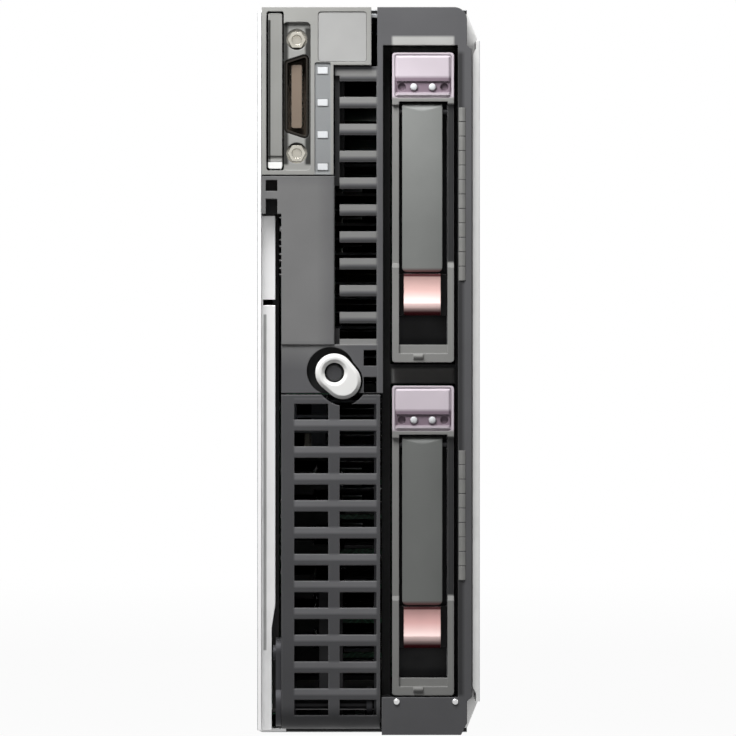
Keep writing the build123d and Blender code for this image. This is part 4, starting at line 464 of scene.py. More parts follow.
# Tinted polycarbonate: smooth and slightly glossy.
FINISHES["lamp_block_lilac"] = moulded("moulded_pc_lilac", "ccc2ca", 0.34, grain=0.04, wear=0.05,
                                       areas=block_areas)
print("finishes so far", len(FINISHES))

# %% [markdown]
# Tray and covers are zinc-plated sheet steel. Rolling leaves faint streaks along the sheet, finer than a
# millimetre and drawn here at three so that they show, and the zinc sets in dull crystals some nine
# millimetres across. Stretched noise gives the streaks, and Voronoi cells with a random grey each give
# the crystals. Both change the gloss and, a little, the brightness. A sheet may carry an area of painted
# shade in matt black, which is no metal: a mask then lowers the metallic value as well.

# %% Sheet metal
STREAK_MM = 3.0
STREAK_STRETCH = (1.0, 0.02, 1.0)
STREAK_RANGE = (0.3, 0.7)
CRYSTAL_MM = 9
STEEL_EDGE_MM = 0.25
DULLER = 0.84
BRIGHTER = 1.25
SHADE_BLACK = "131314"
SHADE_ROUGHNESS = 0.8
ROLL_DEPTH = 0.05 * MM
ROLL_STRENGTH = 0.03


def sheet_metal(name, colour, roughness, streak=0.06, crystal=0.05, metallic=1.0, wear=0.3, shade_area=None,
                areas=()):
    """Rolled and plated metal with streaks along Y, dull crystals and bright edges, and painted shade in
    one area.
    """
    material, tree, shader, place = begin(name, colour, roughness, metallic)
    rounded, worn = soft_edges(tree, STEEL_EDGE_MM, wear)
    along = add_node(tree, "ShaderNodeMapping", {"Vector": place, "Scale": STREAK_STRETCH})
    streaks = {"Vector": along, "Scale": per_mm(STREAK_MM), "Detail": 5.0}
    lines = add_node(tree, "ShaderNodeTexNoise", streaks)
    crystals = {"Vector": place, "Scale": per_mm(CRYSTAL_MM)}
    cells = add_node(tree, "ShaderNodeTexVoronoi", crystals, out="Color")
    grey = add_node(tree, "ShaderNodeSeparateColor", {"Color": cells})
    shift = add_node(tree, "ShaderNodeMapRange", {"Value": grey, "To Min": -crystal, "To Max": crystal})
    contrast = {"Value": lines, "From Min": STREAK_RANGE[0], "From Max": STREAK_RANGE[1]}
    spread = {**contrast, "To Min": roughness - streak, "To Max": roughness + streak}
    rough = add_node(tree, "ShaderNodeMapRange", spread)
    rough = add_node(tree, "ShaderNodeMath", {0: rough, 1: shift}, operation="ADD")
    bands = add_node(tree, "ShaderNodeMapRange", contrast)
    base = linear(colour)
    dull = [c * DULLER for c in base[:3]] + [1.0]
    tint = add_node(tree, "ShaderNodeMix", {"Factor": bands, "A": dull, "B": base}, data_type="RGBA")
    glint = {"Value": grey, "To Min": 1 - crystal, "To Max": 1 + crystal}
    facets = add_node(tree, "ShaderNodeMapRange", glint)
    tint = add_node(tree, "ShaderNodeVectorMath", {0: tint, "Scale": facets}, operation="SCALE")
    bright = [min(1.0, c * BRIGHTER) for c in base[:3]] + [1.0]
    edged = add_node(tree, "ShaderNodeMix", {"Factor": worn, "A": tint, "B": bright}, data_type="RGBA")
    paint = recolour(tree, place, edged, areas)
    if shade_area:
        mask = inside(tree, place, shade_area, CRISP)
        shaded = {"Factor": mask, "A": paint, "B": linear(SHADE_BLACK)}
        paint = add_node(tree, "ShaderNodeMix", shaded, data_type="RGBA")
        duller = {"Value": mask, "To Min": rough, "To Max": SHADE_ROUGHNESS}
        rough = add_node(tree, "ShaderNodeMapRange", duller)
        metal = add_node(tree, "ShaderNodeMapRange", {"Value": mask, "To Min": metallic, "To Max": 0.0})
        tree.links.new(metal, shader.inputs["Metallic"])
    tree.links.new(paint, shader.inputs["Base Color"])
    tree.links.new(rough, shader.inputs["Roughness"])
    relief = {"Height": lines, "Strength": ROLL_STRENGTH, "Distance": ROLL_DEPTH, "Normal": rounded}
    tree.links.new(add_node(tree, "ShaderNodeBump", relief), shader.inputs["Normal"])
    return material


print("sheet metal ready, crystals mm", CRYSTAL_MM)

# %% [markdown]
# Painted shade in matt black lines the inside of the tray and of the rear wall. At the front a painted
# highlight makes the steel whiter than the rest, apart from painted shade on the inner lip and a thin line
# of painted shade along the bend near the left side. Limits just inside the outer faces keep the white off
# the sides of the case.

# %% Plated steel
SHEET = 1.0 * MM
SKIN = 0.15 * MM
FRONT_ZONE = 30 * MM
LIP_LEFT = 7 * MM
LIP_RIGHT = 3 * MM
BEND_SHADE_X = (1.5 * MM, 2.2 * MM)
BEND_SHADE_Z = (21 * MM, 105 * MM)
BEND_SHADE_FADE = 0.2 * MM

front_y = (cad_low.y, cad_low.y + FRONT_ZONE)
# Painted shade in matt black inside the tray and the rear wall, behind the front zone.
interior_shade = {"X": (cad_low.x + SHEET - CRISP, cad_high.x - SHEET + CRISP),
          "Y": (cad_low.y + FRONT_ZONE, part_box("rear_panel")[1].y - SHEET / 2),
          "Z": (cad_low.z + SHEET - CRISP, cad_high.z - SHEET + CRISP)}
# Painted highlight: whiter steel on the front zone, inside the outer faces.
front_highlight = {"X": (cad_low.x + SKIN, cad_high.x - SKIN), "Y": front_y,
          "Z": (cad_low.z + SKIN, cad_high.z - SKIN)}
# Painted shade on the inside of the front zone.
inner_lip_shade = {**front_highlight, "X": (cad_low.x + LIP_LEFT, cad_high.x - LIP_RIGHT)}
# Painted shade: a thin grey line along the bend near the left side.
bend_shade = {"X": [cad_low.x + x for x in BEND_SHADE_X], "Y": front_y, "Z": [cad_low.z + z for z in BEND_SHADE_Z]}

# Zinc plate on rolled steel: pale grey, half dull, with soft reflections.
FINISHES["zinc_steel"] = sheet_metal("zinc_plated_sheet", "b2b4b6", 0.4, metallic=0.9)
# The same sheet with painted shade in matt black inside, and painted light and shade at the front.
shaded_steel = sheet_metal("zinc_plated_sheet_shaded", "b2b4b6", 0.4, metallic=0.5, shade_area=interior_shade,
                          areas=[(front_highlight, "fcfcfc", CRISP), (inner_lip_shade, "1a1a1b", CRISP),
                                 (bend_shade, "a2a2a2", BEND_SHADE_FADE)])
# A sheet from a duller coil, for the side cover, with a milder painted highlight at the front.
cover_steel = sheet_metal("zinc_plated_cover", "aeb0b2", 0.42, metallic=0.9,
                          areas=[(front_highlight, "d8d8d7", CRISP)])
print("plated steel", shaded_steel.name, cover_steel.name)

# %% [markdown]
# The other metals differ in polish. Screws are bright, pins and inner plates are blackened against rust,
# the heat sinks are anodised dark, and the disks are bare castings. A metal's colour is the colour of its
# reflection, so the roughness decides how much of the room shows in it.

# %% Other metals
SHELL_SHADE_END = 4 * MM
SHELL_SHADE_FADE = 0.8 * MM
port_side_shade = {"Z": (port_low.z + SHELL_SHADE_END, port_high.z - SHELL_SHADE_END)}

# Polished steel: mirror-like, with fine turning streaks.
FINISHES["bright_steel"] = sheet_metal("polished_steel", "d8d8d8", 0.24, streak=0.05, crystal=0.0)
# Phosphated steel: a matt dark grey with a crystalline bloom.
FINISHES["dark_steel"] = sheet_metal("phosphated_steel", "3a3a3d", 0.55, crystal=0.04, metallic=0.8)
# Black oxide on steel: near black, with bright worn edges.
black_oxide = sheet_metal("black_oxide_steel", "1e1e20", 0.5, crystal=0.0, metallic=0.6)
# Nickel plate: bright, a little warm.
FINISHES["nickel"] = sheet_metal("nickel_plate", "cfcbc0", 0.22, streak=0.05, crystal=0.0)
# The same plate, with painted shade along the connector's two long sides.
shell_plate = sheet_metal("nickel_plate_shaded", "d8d4c8", 0.25, streak=0.05, crystal=0.0,
                          areas=[(port_side_shade, "3a3733", SHELL_SHADE_FADE)])
# Tinned bronze: soft grey and dull, as tin oxidises.
tinned_bronze = sheet_metal("tinned_bronze", "7c7c7a", 0.55, streak=0.05, crystal=0.0, metallic=0.5)
# Anodised aluminium: a dark satin grey without sparkle.
FINISHES["aluminium"] = sheet_metal("anodised_aluminium", "606266", 0.5, crystal=0.0, metallic=0.7)
# Cast aluminium: pale and slightly mottled.
FINISHES["disk_cast"] = sheet_metal("cast_aluminium", "a7a9ab", 0.46, streak=0.04, crystal=0.05)
print("metals in", len(FINISHES), "finishes")

# %% [markdown]
# The circuit boards are glass-fibre laminate under a green solder mask. Copper tracks show through the
# mask as slightly paler lines a quarter of a millimetre wide, drawn here at half a millimetre so that
# they show. They follow the distance rings of square cells, which gives their right-angled runs without a
# picture of a real board. Chips on the memory modules and fins on the plug-in cards belong to the same
# solids, so areas give them their own colours.

# %% Circuit board laminate
TRACK_PITCH_MM = 1.6
TRACK_CELL_MM = 6
TRACK_STARTS = (0.62, 0.7)
TRACK_HEIGHT = 0.04 * MM
TRACK_RELIEF = 0.25
MASK_ROUGHNESS = 0.38
WEAVE_MM = 1.5
WEAVE_SPREAD = 0.08
BOARD_EDGE_MM = 0.2
BARE_SHARE = 0.4


def laminate(name, colour, track, bare_edge, areas):
    """Solder mask over a glass weave, with paler raised copper tracks and bare edges."""
    material, tree, shader, place = begin(name, colour, MASK_ROUGHNESS)
    rounded, worn = soft_edges(tree, BOARD_EDGE_MM, BARE_SHARE)
    cells = add_node(tree, "ShaderNodeTexVoronoi", {"Vector": place, "Scale": per_mm(TRACK_CELL_MM)},
                     distance="MANHATTAN")
    per_cell = TRACK_CELL_MM / TRACK_PITCH_MM
    rings = add_node(tree, "ShaderNodeMath", {0: cells, 1: per_cell}, operation="MULTIPLY")
    wave = add_node(tree, "ShaderNodeMath", {0: rings}, operation="FRACT")
    start = {"Value": wave, "From Min": TRACK_STARTS[0], "From Max": TRACK_STARTS[1]}
    line = add_node(tree, "ShaderNodeMapRange", start)
    greens = {"Factor": line, "A": linear(colour), "B": linear(track)}
    tint = add_node(tree, "ShaderNodeMix", greens, data_type="RGBA")
    edged = {"Factor": worn, "A": tint, "B": linear(bare_edge)}
    paint = recolour(tree, place, add_node(tree, "ShaderNodeMix", edged, data_type="RGBA"), areas)
    tree.links.new(paint, shader.inputs["Base Color"])
    weave = {"Vector": place, "Scale": per_mm(WEAVE_MM), "Detail": 3.0}
    cloth = add_node(tree, "ShaderNodeTexNoise", weave)
    spread = {"Value": cloth, "To Min": MASK_ROUGHNESS - WEAVE_SPREAD,
              "To Max": MASK_ROUGHNESS + WEAVE_SPREAD}
    tree.links.new(add_node(tree, "ShaderNodeMapRange", spread), shader.inputs["Roughness"])
    relief = {"Height": line, "Strength": TRACK_RELIEF, "Distance": TRACK_HEIGHT, "Normal": rounded}
    tree.links.new(add_node(tree, "ShaderNodeBump", relief), shader.inputs["Normal"])
    return material


print("laminate ready, track pitch mm", TRACK_PITCH_MM)

# %% [markdown]
# A memory module carries its chips on one face, so a strip beside that face, repeated at the modules'
# pitch, marks them all. The two banks are out of step with each other and get a strip each. The fins of a
# plug-in card are whatever stands above its board. Painted shade in black covers the front edge of the
# system board.

# %% Boards
BOARD_T = 1.6 * MM
MODULE_L = 133.3 * MM
MODULE_T = 1.3 * MM
MODULE_PITCH = 9.2 * MM
CHIP_H = 1.1 * MM
CHIP_START = 0.1 * MM
EDGE_SHADE_DEPTH = 0.5 * MM

board_low, board_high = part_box("system_board")
modules_low, modules_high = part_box("memory_modules")
card_low, card_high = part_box("mezzanine_card_1")
first_face = modules_low.z + MODULE_T
last_face = modules_high.z - CHIP_H
card_fins = {"X": (card_low.x + BOARD_T + CHIP_START, card_high.x + MM), "Y": (card_low.y, card_high.y)}
# Painted shade in black on the front edge of the system board.
board_edge_shade = {"Y": (board_low.y - CRISP, board_low.y + EDGE_SHADE_DEPTH)}
board_areas = [(card_fins, "8c8e90", CRISP), (board_edge_shade, "141414", CRISP)]
for face, bank_y in ((first_face, (modules_low.y, modules_low.y + MODULE_L)),
                     (last_face, (modules_high.y - MODULE_L, modules_high.y))):
    chips = {"X": (modules_low.x, modules_high.x), "Y": bank_y,
             "Z_rows": (face + CHIP_START, face + 2 * CHIP_H, MODULE_PITCH)}
    board_areas.append((chips, "262628", CRISP))

# Glass-fibre laminate: deep green and glossy where the mask is thick, yellowish along its sawn edges.
FINISHES["board_laminate"] = laminate("solder_masked_laminate", "1f5a3c", "2f7350", "8a8458", board_areas)
print("finishes", len(FINISHES))

# %% [markdown]
# The record gives each node of the frame a material slot. The finish for that slot goes on the whole
# node, because nearly every CAD piece is one material in real life. A few pieces then get a variant of
# their metal: the tray and the rear wall carry painted shade inside, the side cover comes from a duller
# coil, the pivots are blacked, and painted shade darkens the long sides of the connector's shell.

# %% Put the finishes on the nodes
VARIANTS = {"chassis_tray": shaded_steel, "rear_panel": shaded_steel, "front_side_cover": cover_steel,
            "io_connector_shell": shell_plate, "lever_pivot_pin": black_oxide, "lever_spring": black_oxide,
            "drive_1_lever_pin": black_oxide, "drive_2_lever_pin": black_oxide}

for part in frame["record"]["subparts"]:
    finish = VARIANTS.get(part["node"], FINISHES[part["material_slot"]])
    for slot in nodes[part["node"]].material_slots:
        slot.material = finish

# %% [markdown]
# The trim below is made in mesh code. One function turns a finished bmesh into an object in its finish,
# riding on the body that carries it, so that a drive takes its own screws and lamps along when it slides
# out. Thin pressed pieces are drawn as a sheet and thickened by a modifier to their real gauge.

# %% Piece helper
def add_piece(name, mesh_data, finish, body, material=None, gauge=0.0, offset=0.0):
    """Object made from a bmesh, in the finish of a record slot or a variant of it, riding on a body."""
    mesh = bpy.data.meshes.new(name)
    bmesh.ops.recalc_face_normals(mesh_data, faces=mesh_data.faces)
    mesh_data.to_mesh(mesh)
    mesh_data.free()
    mesh.materials.append(material or FINISHES[finish])
    piece = bpy.data.objects.new(name, mesh)
    bpy.context.scene.collection.objects.link(piece)
    if gauge:
        sheet = piece.modifiers.new("gauge", "SOLIDIFY")
        sheet.thickness = gauge
        sheet.offset = offset
    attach(piece, body)
    print(name, "with", len(mesh.polygons), "faces on", body)


print("piece helper ready")

# %% [markdown]
# Studs, lamp domes and screw heads are turned parts, so a half profile spun about its axis gives their
# shape. Where the profile meets the axis, the spin leaves one point per step on the same spot, and these
# are welded.

# %% Turning helper
TURN_STEPS = 24
DOME_STEPS = 6
WELD = 0.001 * MM
FACING_FRONT = Matrix.Rotation(math.radians(90), 4, "X")
UPSIDE_DOWN = Matrix.Rotation(math.radians(180), 4, "X")


def lathe(mesh_data, profile, matrix):
    """Turns a profile of (radius, height) points about Z and puts it where the matrix says."""
    before = set(mesh_data.verts)
    verts = [mesh_data.verts.new((radius, 0, height)) for radius, height in profile]
    edges = [mesh_data.edges.new(pair) for pair in zip(verts, verts[1:])]
    bmesh.ops.spin(mesh_data, geom=verts + edges, cent=(0, 0, 0), axis=(0, 0, 1), angle=2 * math.pi,
                   steps=TURN_STEPS, use_merge=True)
    turned = [v for v in mesh_data.verts if v not in before]
    bmesh.ops.remove_doubles(mesh_data, verts=turned, dist=WELD)
    turned = [v for v in mesh_data.verts if v not in before]
    bmesh.ops.transform(mesh_data, matrix=matrix, verts=turned)


def dome(radius, height, rim=0.0):
    """Profile of a flat foot, a rim and a dome that closes on the axis."""
    turns = [math.pi / 2 * step / DOME_STEPS for step in range(DOME_STEPS + 1)]
    arc = [(radius * math.cos(turn), rim + height * math.sin(turn)) for turn in turns]
    return [(0.0, 0.0), (radius, 0.0)] + arc[(0 if rim else 1):]


print("turning helper ready, steps", TURN_STEPS)

# %% [markdown]
# Two sprung contact strips stand on the bezel beside the drives. The real ones are pressed from thin
# bronze, tinned, with a row of arched fingers that touch the neighbouring blade. Each finger here is an
# arch with a few facets. It is drawn as a sheet, because the gauge is then one number in a modifier.

# %% Contact strips
STRIP_W = 1.6 * MM
STRIP_ASIDE = 1.2 * MM
STRIP_RISE = 0.35 * MM
STRIP_GAUGE = 0.12 * MM
FINGER_PITCH = 3.6 * MM
FINGER_GAP = 0.15 * MM
ARCH_STEPS = 8
STRIPS = {"drive_1": (20.4 * MM, 64.0 * MM), "drive_2": (28.8 * MM, 63.6 * MM)}

for drive, (start, end) in STRIPS.items():
    low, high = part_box(drive + "_carrier")
    strip = bmesh.new()
    for finger in range(int((end - start) / FINGER_PITCH)):
        z0 = low.z + start + finger * FINGER_PITCH
        rows = []
        for step in range(ARCH_STEPS + 1):
            x = high.x + STRIP_ASIDE + STRIP_W * step / ARCH_STEPS
            y = bezel_low.y - STRIP_RISE * math.sin(math.pi * step / ARCH_STEPS)
            rows.append([strip.verts.new((x, y, z)) for z in (z0, z0 + FINGER_PITCH - FINGER_GAP)])
        for here, there in zip(rows, rows[1:]):
            strip.faces.new((here[0], there[0], there[1], here[1]))
    add_piece(drive + "_contact_strip", strip, "bright_steel", "chassis", material=tinned_bronze,
              gauge=STRIP_GAUGE, offset=1.0)

# %% [markdown]
# Two polished studs on the foot block steer the lower drive into its bay. They have a short rim and a low
# dome. Half a sphere would give the dome alone, and one turned profile gives both.

# %% Guide studs
STUD_R = 0.8 * MM
STUD_RIM = 0.15 * MM
STUD_DOME = 0.4 * MM
STUD_DROP = 1.5 * MM
STUD_LEFT = 1.1 * MM
STUD_RIGHT = 0.3 * MM

studs = bmesh.new()
for x in (lower_low.x + STUD_LEFT, lower_high.x + STUD_RIGHT):
    spot = Matrix.Translation((x, bezel_low.y, lower_low.z - STUD_DROP))
    lathe(studs, dome(STUD_R, STUD_DOME, STUD_RIM), spot @ FACING_FRONT)
add_piece("guide_studs", studs, "bright_steel", "chassis")

# %% [markdown]
# The flat-headed screws in the floor and roof have six-lobed sockets. Cutting them out would take a
# boolean for each head. From outside a socket is only a dark outline, so it is drawn as a thin dark
# insert on the head, its waves given by one cosine.

# %% Screw sockets
SOCKET_R = 1.15 * MM
SOCKET_WAVE = 0.16
SOCKET_LOBES = 6
SOCKET_POINTS = 48
SOCKET_PROUD = 0.02 * MM
HEAD_R = 2.6 * MM

screws_low, screws_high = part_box("chassis_screws")
outline = []
for step in range(SOCKET_POINTS):
    turn = 2 * math.pi * step / SOCKET_POINTS
    radius = SOCKET_R * (1 + SOCKET_WAVE * math.cos(SOCKET_LOBES * turn))
    outline.append(radius * Vector((math.cos(turn), math.sin(turn))))
sockets = bmesh.new()
for x in (screws_low.x + HEAD_R, screws_high.x - HEAD_R):
    for y in (screws_low.y + HEAD_R, screws_high.y - HEAD_R):
        for head_z, proud in ((screws_low.z, -SOCKET_PROUD), (screws_high.z, SOCKET_PROUD)):
            foot, top = [[sockets.verts.new((x + point.x, y + point.y, z)) for point in outline]
                         for z in (head_z, head_z + proud)]
            sockets.faces.new(foot)
            sockets.faces.new(top)
            for i in range(SOCKET_POINTS):
                sockets.faces.new((foot[i - 1], foot[i], top[i], top[i - 1]))
add_piece("screw_sockets", sockets, "dark_steel", "chassis")

# %% [markdown]
# Each lamp block shows two small domes, the ends of light pipes moulded in frosted polycarbonate. They
# bulge a little out of the sunk row, so the dome of the studs serves again, without its rim.

# %% Drive lamps
LAMP_R = 0.9 * MM
LAMP_BULGE = 0.35 * MM
LAMP_REACH = 2.3 * MM
LAMP_RISE = 2.6 * MM
LAMP_BACK = 0.16 * MM

for drive in DRIVES:
    low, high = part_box(drive + "_lamp_block")
    lamps = bmesh.new()
    for reach in (-LAMP_REACH, LAMP_REACH):
        spot = Matrix.Translation(((low.x + high.x) / 2 + reach, low.y + LAMP_BACK, low.z + LAMP_RISE))
        lathe(lamps, dome(LAMP_R, LAMP_BULGE), spot @ FACING_FRONT)
    add_piece(drive + "_lamps", lamps, "lens", drive)

# %% [markdown]
# Behind each drive front a thin black sheet stands before the disk as painted shade, so that the disk
# does not show bright through the drive front. Its surface waves a little. A wave modifier would need a
# fine grid, while a sine needs one row of points for each step.

# %% Drive shade sheets
SHADE_SHEET_EDGE = 1.2 * MM
SHADE_SHEET_BACK = 0.07 * MM
SHADE_SHEET_WAVE = 0.04 * MM
SHADE_SHEET_PITCH = 4.0 * MM
SHADE_SHEET_GAUGE = 0.06 * MM
WAVE_STEPS = 8

for drive in DRIVES:
    low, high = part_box(drive + "_disk")
    shade_sheet = bmesh.new()
    count = int((high.z - low.z) / SHADE_SHEET_PITCH * WAVE_STEPS)
    rows = []
    for step in range(count + 1):
        z = low.z + (high.z - low.z) * step / count
        y = low.y - SHADE_SHEET_BACK + SHADE_SHEET_WAVE * math.sin(2 * math.pi * step / WAVE_STEPS)
        rows.append([shade_sheet.verts.new((x, y, z)) for x in (low.x + SHADE_SHEET_EDGE, high.x - SHADE_SHEET_EDGE)])
    for below, above in zip(rows, rows[1:]):
        shade_sheet.faces.new((below[0], below[1], above[1], above[0]))
    add_piece(drive + "_shade_sheet", shade_sheet, "black_plastic", drive, gauge=SHADE_SHEET_GAUGE)

# %% [markdown]
# The disk is held in its rails by four screws with low cheese heads, two from above and two from below.
# They lie in the play between rail and bay, so the heads are only a fraction of a millimetre high. They
# are turned from a profile with a cut edge and a round recess.

# %% Disk screws
CHEESE_R = 1.7 * MM
CHEESE_H = 0.16 * MM
CHEESE_EDGE = 0.06 * MM
RECESS_R = 0.7 * MM
RECESS_FLOOR = 0.06 * MM
DISK_SCREW_Y = (26 * MM, 88 * MM)

cheese = [(0.0, 0.0), (CHEESE_R, 0.0), (CHEESE_R, CHEESE_H - CHEESE_EDGE),
          (CHEESE_R - CHEESE_EDGE, CHEESE_H), (RECESS_R, CHEESE_H), (RECESS_R, RECESS_FLOOR),
          (0.0, RECESS_FLOOR)]
for drive in DRIVES:
    low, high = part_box(drive + "_carrier")
    heads = bmesh.new()
    for back in DISK_SCREW_Y:
        spot = ((low.x + high.x) / 2, low.y + back)
        lathe(heads, cheese, Matrix.Translation((*spot, high.z)))
        lathe(heads, cheese, Matrix.Translation((*spot, low.z)) @ UPSIDE_DOWN)
    add_piece(drive + "_disk_screws", heads, "bright_steel", drive)

# %% [markdown]
# The console connector has a row of sprung contacts on either side of its tongue. A contact is a narrow
# strip whose nose bows outward to meet the plug. A curve could be bevelled to it, but a sine along the
# tongue and a modifier for the gauge keep it to a few points.

# %% Console contacts
CONTACT_COUNT = 12
CONTACT_PITCH = 1.2 * MM
CONTACT_W = 0.55 * MM
CONTACT_L = 5.0 * MM
CONTACT_START = 0.3 * MM
CONTACT_BOW = 0.22 * MM
CONTACT_GAUGE = 0.08 * MM
CONTACT_STEPS = 6
TONGUE_HALF = 1.3 * MM

contacts = bmesh.new()
port = (port_low + port_high) / 2
nose_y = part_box("io_connector_insert")[0].y + CONTACT_START
for side in (-1, 1):
    for index in range(CONTACT_COUNT):
        z = port.z + (index - (CONTACT_COUNT - 1) / 2) * CONTACT_PITCH
        rows = []
        for step in range(CONTACT_STEPS + 1):
            share = step / CONTACT_STEPS
            x = port.x + side * (TONGUE_HALF + CONTACT_GAUGE + CONTACT_BOW * math.sin(math.pi * share))
            edges_z = (z - CONTACT_W / 2, z + CONTACT_W / 2)
            rows.append([contacts.verts.new((x, nose_y + CONTACT_L * share, edge)) for edge in edges_z])
        for front, back in zip(rows, rows[1:]):
            contacts.faces.new((front[0], front[1], back[1], back[0]))
add_piece("console_contacts", contacts, "nickel", "chassis", gauge=CONTACT_GAUGE)

# %% [markdown]
# The system board is crowded with chip resistors and capacitors, each a ceramic block with a tinned cap
# at either end. They are set out in fields between the larger parts, lying either way, with some places
# left empty. A fixed seed keeps the pattern the same every time.

# %% Surface-mount parts
PART_L = 2.0 * MM
PART_W = 1.2 * MM
PART_H = 0.8 * MM
PART_EDGE = 0.05 * MM
CAP_L = 0.4 * MM
CAP_PROUD = 0.05 * MM
FIELD_PITCH = 3.6 * MM
EMPTY_SHARE = 0.3
UPRIGHT_SHARE = 0.5
SEED = 7
FIELDS_MM = [((4, 20), (112, 160)), ((40, 48), (28, 66)), ((90, 102), (18, 68)), ((90, 102), (110, 160))]


def add_box(mesh_data, centre, size):
    """Box with slightly cut corners, added to a bmesh."""
    place = Matrix.Translation(centre) @ Matrix.Diagonal((*size, 1.0))
    made = bmesh.ops.create_cube(mesh_data, size=1.0, matrix=place)
    edges = {edge for v in made["verts"] for edge in v.link_edges}
    bmesh.ops.bevel(mesh_data, geom=list(edges), offset=PART_EDGE, segments=1, affect="EDGES")


def add_part(centre, upright):
    """Ceramic block and its two end caps, lying along Z or along Y."""
    lying = Vector((0, 0, 1)) if upright else Vector((0, 1, 0))
    across = Vector((1, 1, 1)) - lying
    add_box(ceramics, centre, Vector((PART_H, PART_W, PART_W)) * across + PART_L * lying)
    for reach in (-(PART_L - CAP_L) / 2, (PART_L - CAP_L) / 2):
        cap = Vector((PART_H, PART_W, PART_W)) * across + CAP_L * lying
        add_box(caps, centre + lying * reach, [side + CAP_PROUD for side in cap])


chance = random.Random(SEED)
ceramics = bmesh.new()
caps = bmesh.new()
for (y0, y1), (z0, z1) in FIELDS_MM:
    for row in range(int((y1 - y0) * MM / FIELD_PITCH)):
        for column in range(int((z1 - z0) * MM / FIELD_PITCH)):
            if chance.random() >= EMPTY_SHARE:
                upright = chance.random() < UPRIGHT_SHARE
                spot = (board_high.x + PART_H / 2, board_low.y + y0 * MM + row * FIELD_PITCH,
                        board_low.z + z0 * MM + column * FIELD_PITCH)
                add_part(Vector(spot), upright)
add_piece("board_resistors", ceramics, "chip_black", "chassis")
add_piece("board_resistor_caps", caps, "bright_steel", "chassis")

# %% [markdown]
# The camera looks straight at the bezel from far away, as the photograph does: no side of the steel
# shows. The picture is square. The blade's foot lies on its lower edge, and its top a few pixels under
# the upper one.

# %% Camera
PHOTO_PX = 736
BLADE_TOP_PX = 6
BLADE_MIDDLE_PX = 368.5
DISTANCE = 2.0
CLIP_END = 50.0

height = cad_high.z - cad_low.z
view_width = height * PHOTO_PX / (PHOTO_PX - BLADE_TOP_PX)
aside = (PHOTO_PX / 2 - BLADE_MIDDLE_PX) * view_width / PHOTO_PX
scene = bpy.context.scene
camera = bpy.data.objects.new("camera", bpy.data.cameras.new("camera"))
scene.collection.objects.link(camera)
camera.data.sensor_fit = "HORIZONTAL"
camera.data.lens = camera.data.sensor_width * DISTANCE / view_width
camera.data.clip_end = CLIP_END
camera.location = (aside, cad_low.y - DISTANCE, cad_low.z + view_width / 2)
camera.rotation_euler = (math.radians(90), 0, 0)
scene.camera = camera
print("lens mm", round(camera.data.lens, 1))

# %% [markdown]
# The room adds a low, even light, and what the eye sees of it, straight, mirrored in the steel or through
# a lens, is pure white. The kind of ray decides which of the two a surface meets.

# %% Room
ROOM_LIGHT = 0.1


def seen_rays(tree):
    """1 for rays that show the background to the eye, 0 for rays that only carry light."""
    rays = add_node(tree, "ShaderNodeLightPath").node.outputs
    seen = rays["Is Camera Ray"]
    for kind in ("Is Glossy Ray", "Is Transmission Ray"):
        seen = add_node(tree, "ShaderNodeMath", {0: seen, 1: rays[kind]}, operation="MAXIMUM")
    return seen


scene.view_settings.view_transform = "Standard"
scene.world = bpy.data.worlds.new("studio")
scene.world.use_nodes = True
sky = scene.world.node_tree
sky.nodes.clear()
room = add_node(sky, "ShaderNodeBackground", {"Color": linear("ffffff"), "Strength": ROOM_LIGHT})
white = add_node(sky, "ShaderNodeBackground", {"Color": linear("ffffff"), "Strength": 1.0})
either = add_node(sky, "ShaderNodeMixShader", {0: seen_rays(sky), 1: room, 2: white})
add_node(sky, "ShaderNodeOutputWorld", {"Surface": either})
print("room light", ROOM_LIGHT)

# %% [markdown]
# The photograph is lit from above: the head of the blade is nearly twice as bright as its foot. A soft
# box close above the front gives that fall. Three larger ones, farther off, light the sides and the back
# of the steel.

# %% Lamps
def soft_box(name, place, target, size, watts):
    """Square area light at a place, aimed at a target."""
    lamp = bpy.data.lights.new(name, "AREA")
    lamp.energy = watts
    lamp.size = size
    holder = bpy.data.objects.new(name, lamp)
    holder.location = place
    holder.rotation_mode = "QUATERNION"
    holder.rotation_quaternion = (Vector(target) - Vector(place)).to_track_quat("-Z", "Y")
    holder.visible_camera = False
    scene.collection.objects.link(holder)


KEY_AHEAD = 0.19
key_place = (-0.08, cad_low.y - KEY_AHEAD, 0.39)
face_middle = (0, cad_low.y, height / 2)
blade_middle = (0, 0, 0.1)
soft_box("key_above", place=key_place, target=face_middle, size=0.2, watts=2.0)
soft_box("fill_left", place=(-1.4, -0.1, 0.9), target=blade_middle, size=1.0, watts=10.0)
soft_box("fill_right", place=(1.4, 0.1, 0.9), target=blade_middle, size=1.0, watts=10.0)
soft_box("fill_back", place=(0.2, 1.5, 0.7), target=blade_middle, size=1.5, watts=7.0)
print("lamps", len(bpy.data.lights))

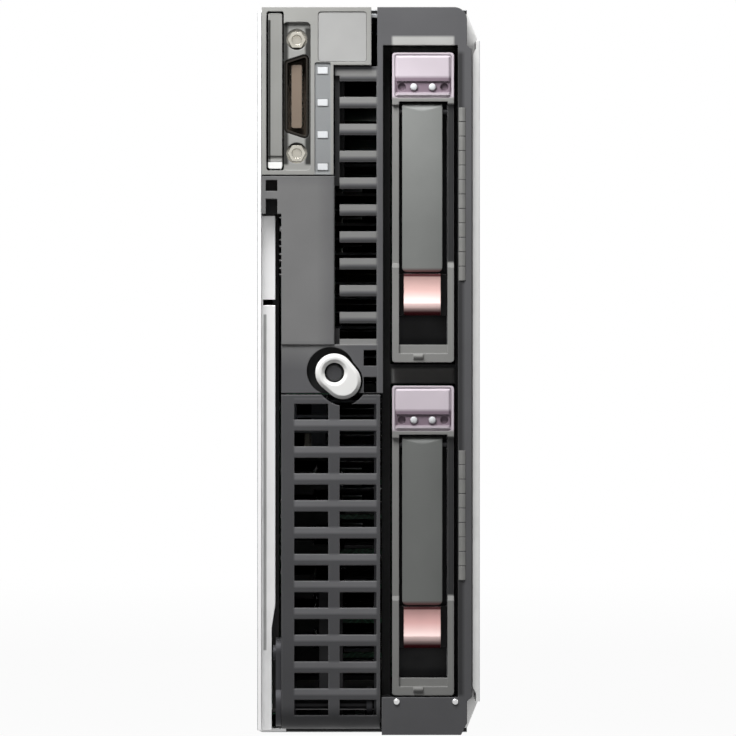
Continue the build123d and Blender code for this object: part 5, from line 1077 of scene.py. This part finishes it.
# %% [markdown]
# The blade stands on paper that runs to the horizon. To the eye the paper glows, so that it joins the
# white room, and only a trace of the blade's soft shadow is left on it. For light that bounces, the same
# paper is grey: otherwise it would throw the key light back up and wash out the dark foot of the blade.

# %% Floor
FLOOR_REACH = 20.0
FLOOR_GAP = 0.05 * MM
PAPER_GLOW = 0.96
GLOW_NEAR = 0.35
GLOW_FAR = 1.2

corners = [(-FLOOR_REACH, -FLOOR_REACH, 0), (FLOOR_REACH, -FLOOR_REACH, 0), (FLOOR_REACH, FLOOR_REACH, 0),
           (-FLOOR_REACH, FLOOR_REACH, 0)]
floor_mesh = bpy.data.meshes.new("floor")
floor_mesh.from_pydata(corners, [], [(0, 1, 2, 3)])
floor = bpy.data.objects.new("floor", floor_mesh)
floor.location.z = cad_low.z - FLOOR_GAP
scene.collection.objects.link(floor)
floor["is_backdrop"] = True

# Uncoated paper: flat and even, with no gloss at all.
paper = bpy.data.materials.new("uncoated_paper")
paper.use_nodes = True
tree = paper.node_tree
tree.nodes.clear()
spot = add_node(tree, "ShaderNodeTexCoord", out="Object")
away = add_node(tree, "ShaderNodeVectorMath", {0: spot}, operation="LENGTH")
spread = {"Value": away, "From Min": GLOW_NEAR, "From Max": GLOW_FAR, "To Min": PAPER_GLOW, "To Max": 1.0}
glowing = add_node(tree, "ShaderNodeMapRange", spread)
share = add_node(tree, "ShaderNodeMath", {0: seen_rays(tree), 1: glowing}, operation="MULTIPLY")
matt = add_node(tree, "ShaderNodeBsdfDiffuse", {"Color": linear("6a6a6a")})
glow = add_node(tree, "ShaderNodeEmission", {"Color": linear("ffffff"), "Strength": 1.0})
both = add_node(tree, "ShaderNodeMixShader", {0: share, 1: matt, 2: glow})
add_node(tree, "ShaderNodeOutputMaterial", {"Surface": both})
floor_mesh.materials.append(paper)
print("floor reaches m", FLOOR_REACH)

# %% [markdown]
# Last, the box of the dressed object is printed, to set beside the CAD's box printed at the start and
# show whether the trim stays within the solids' reach.

# %% Sizes
low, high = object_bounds()
print("visual box mm", [round(v / MM, 2) for v in high - low])
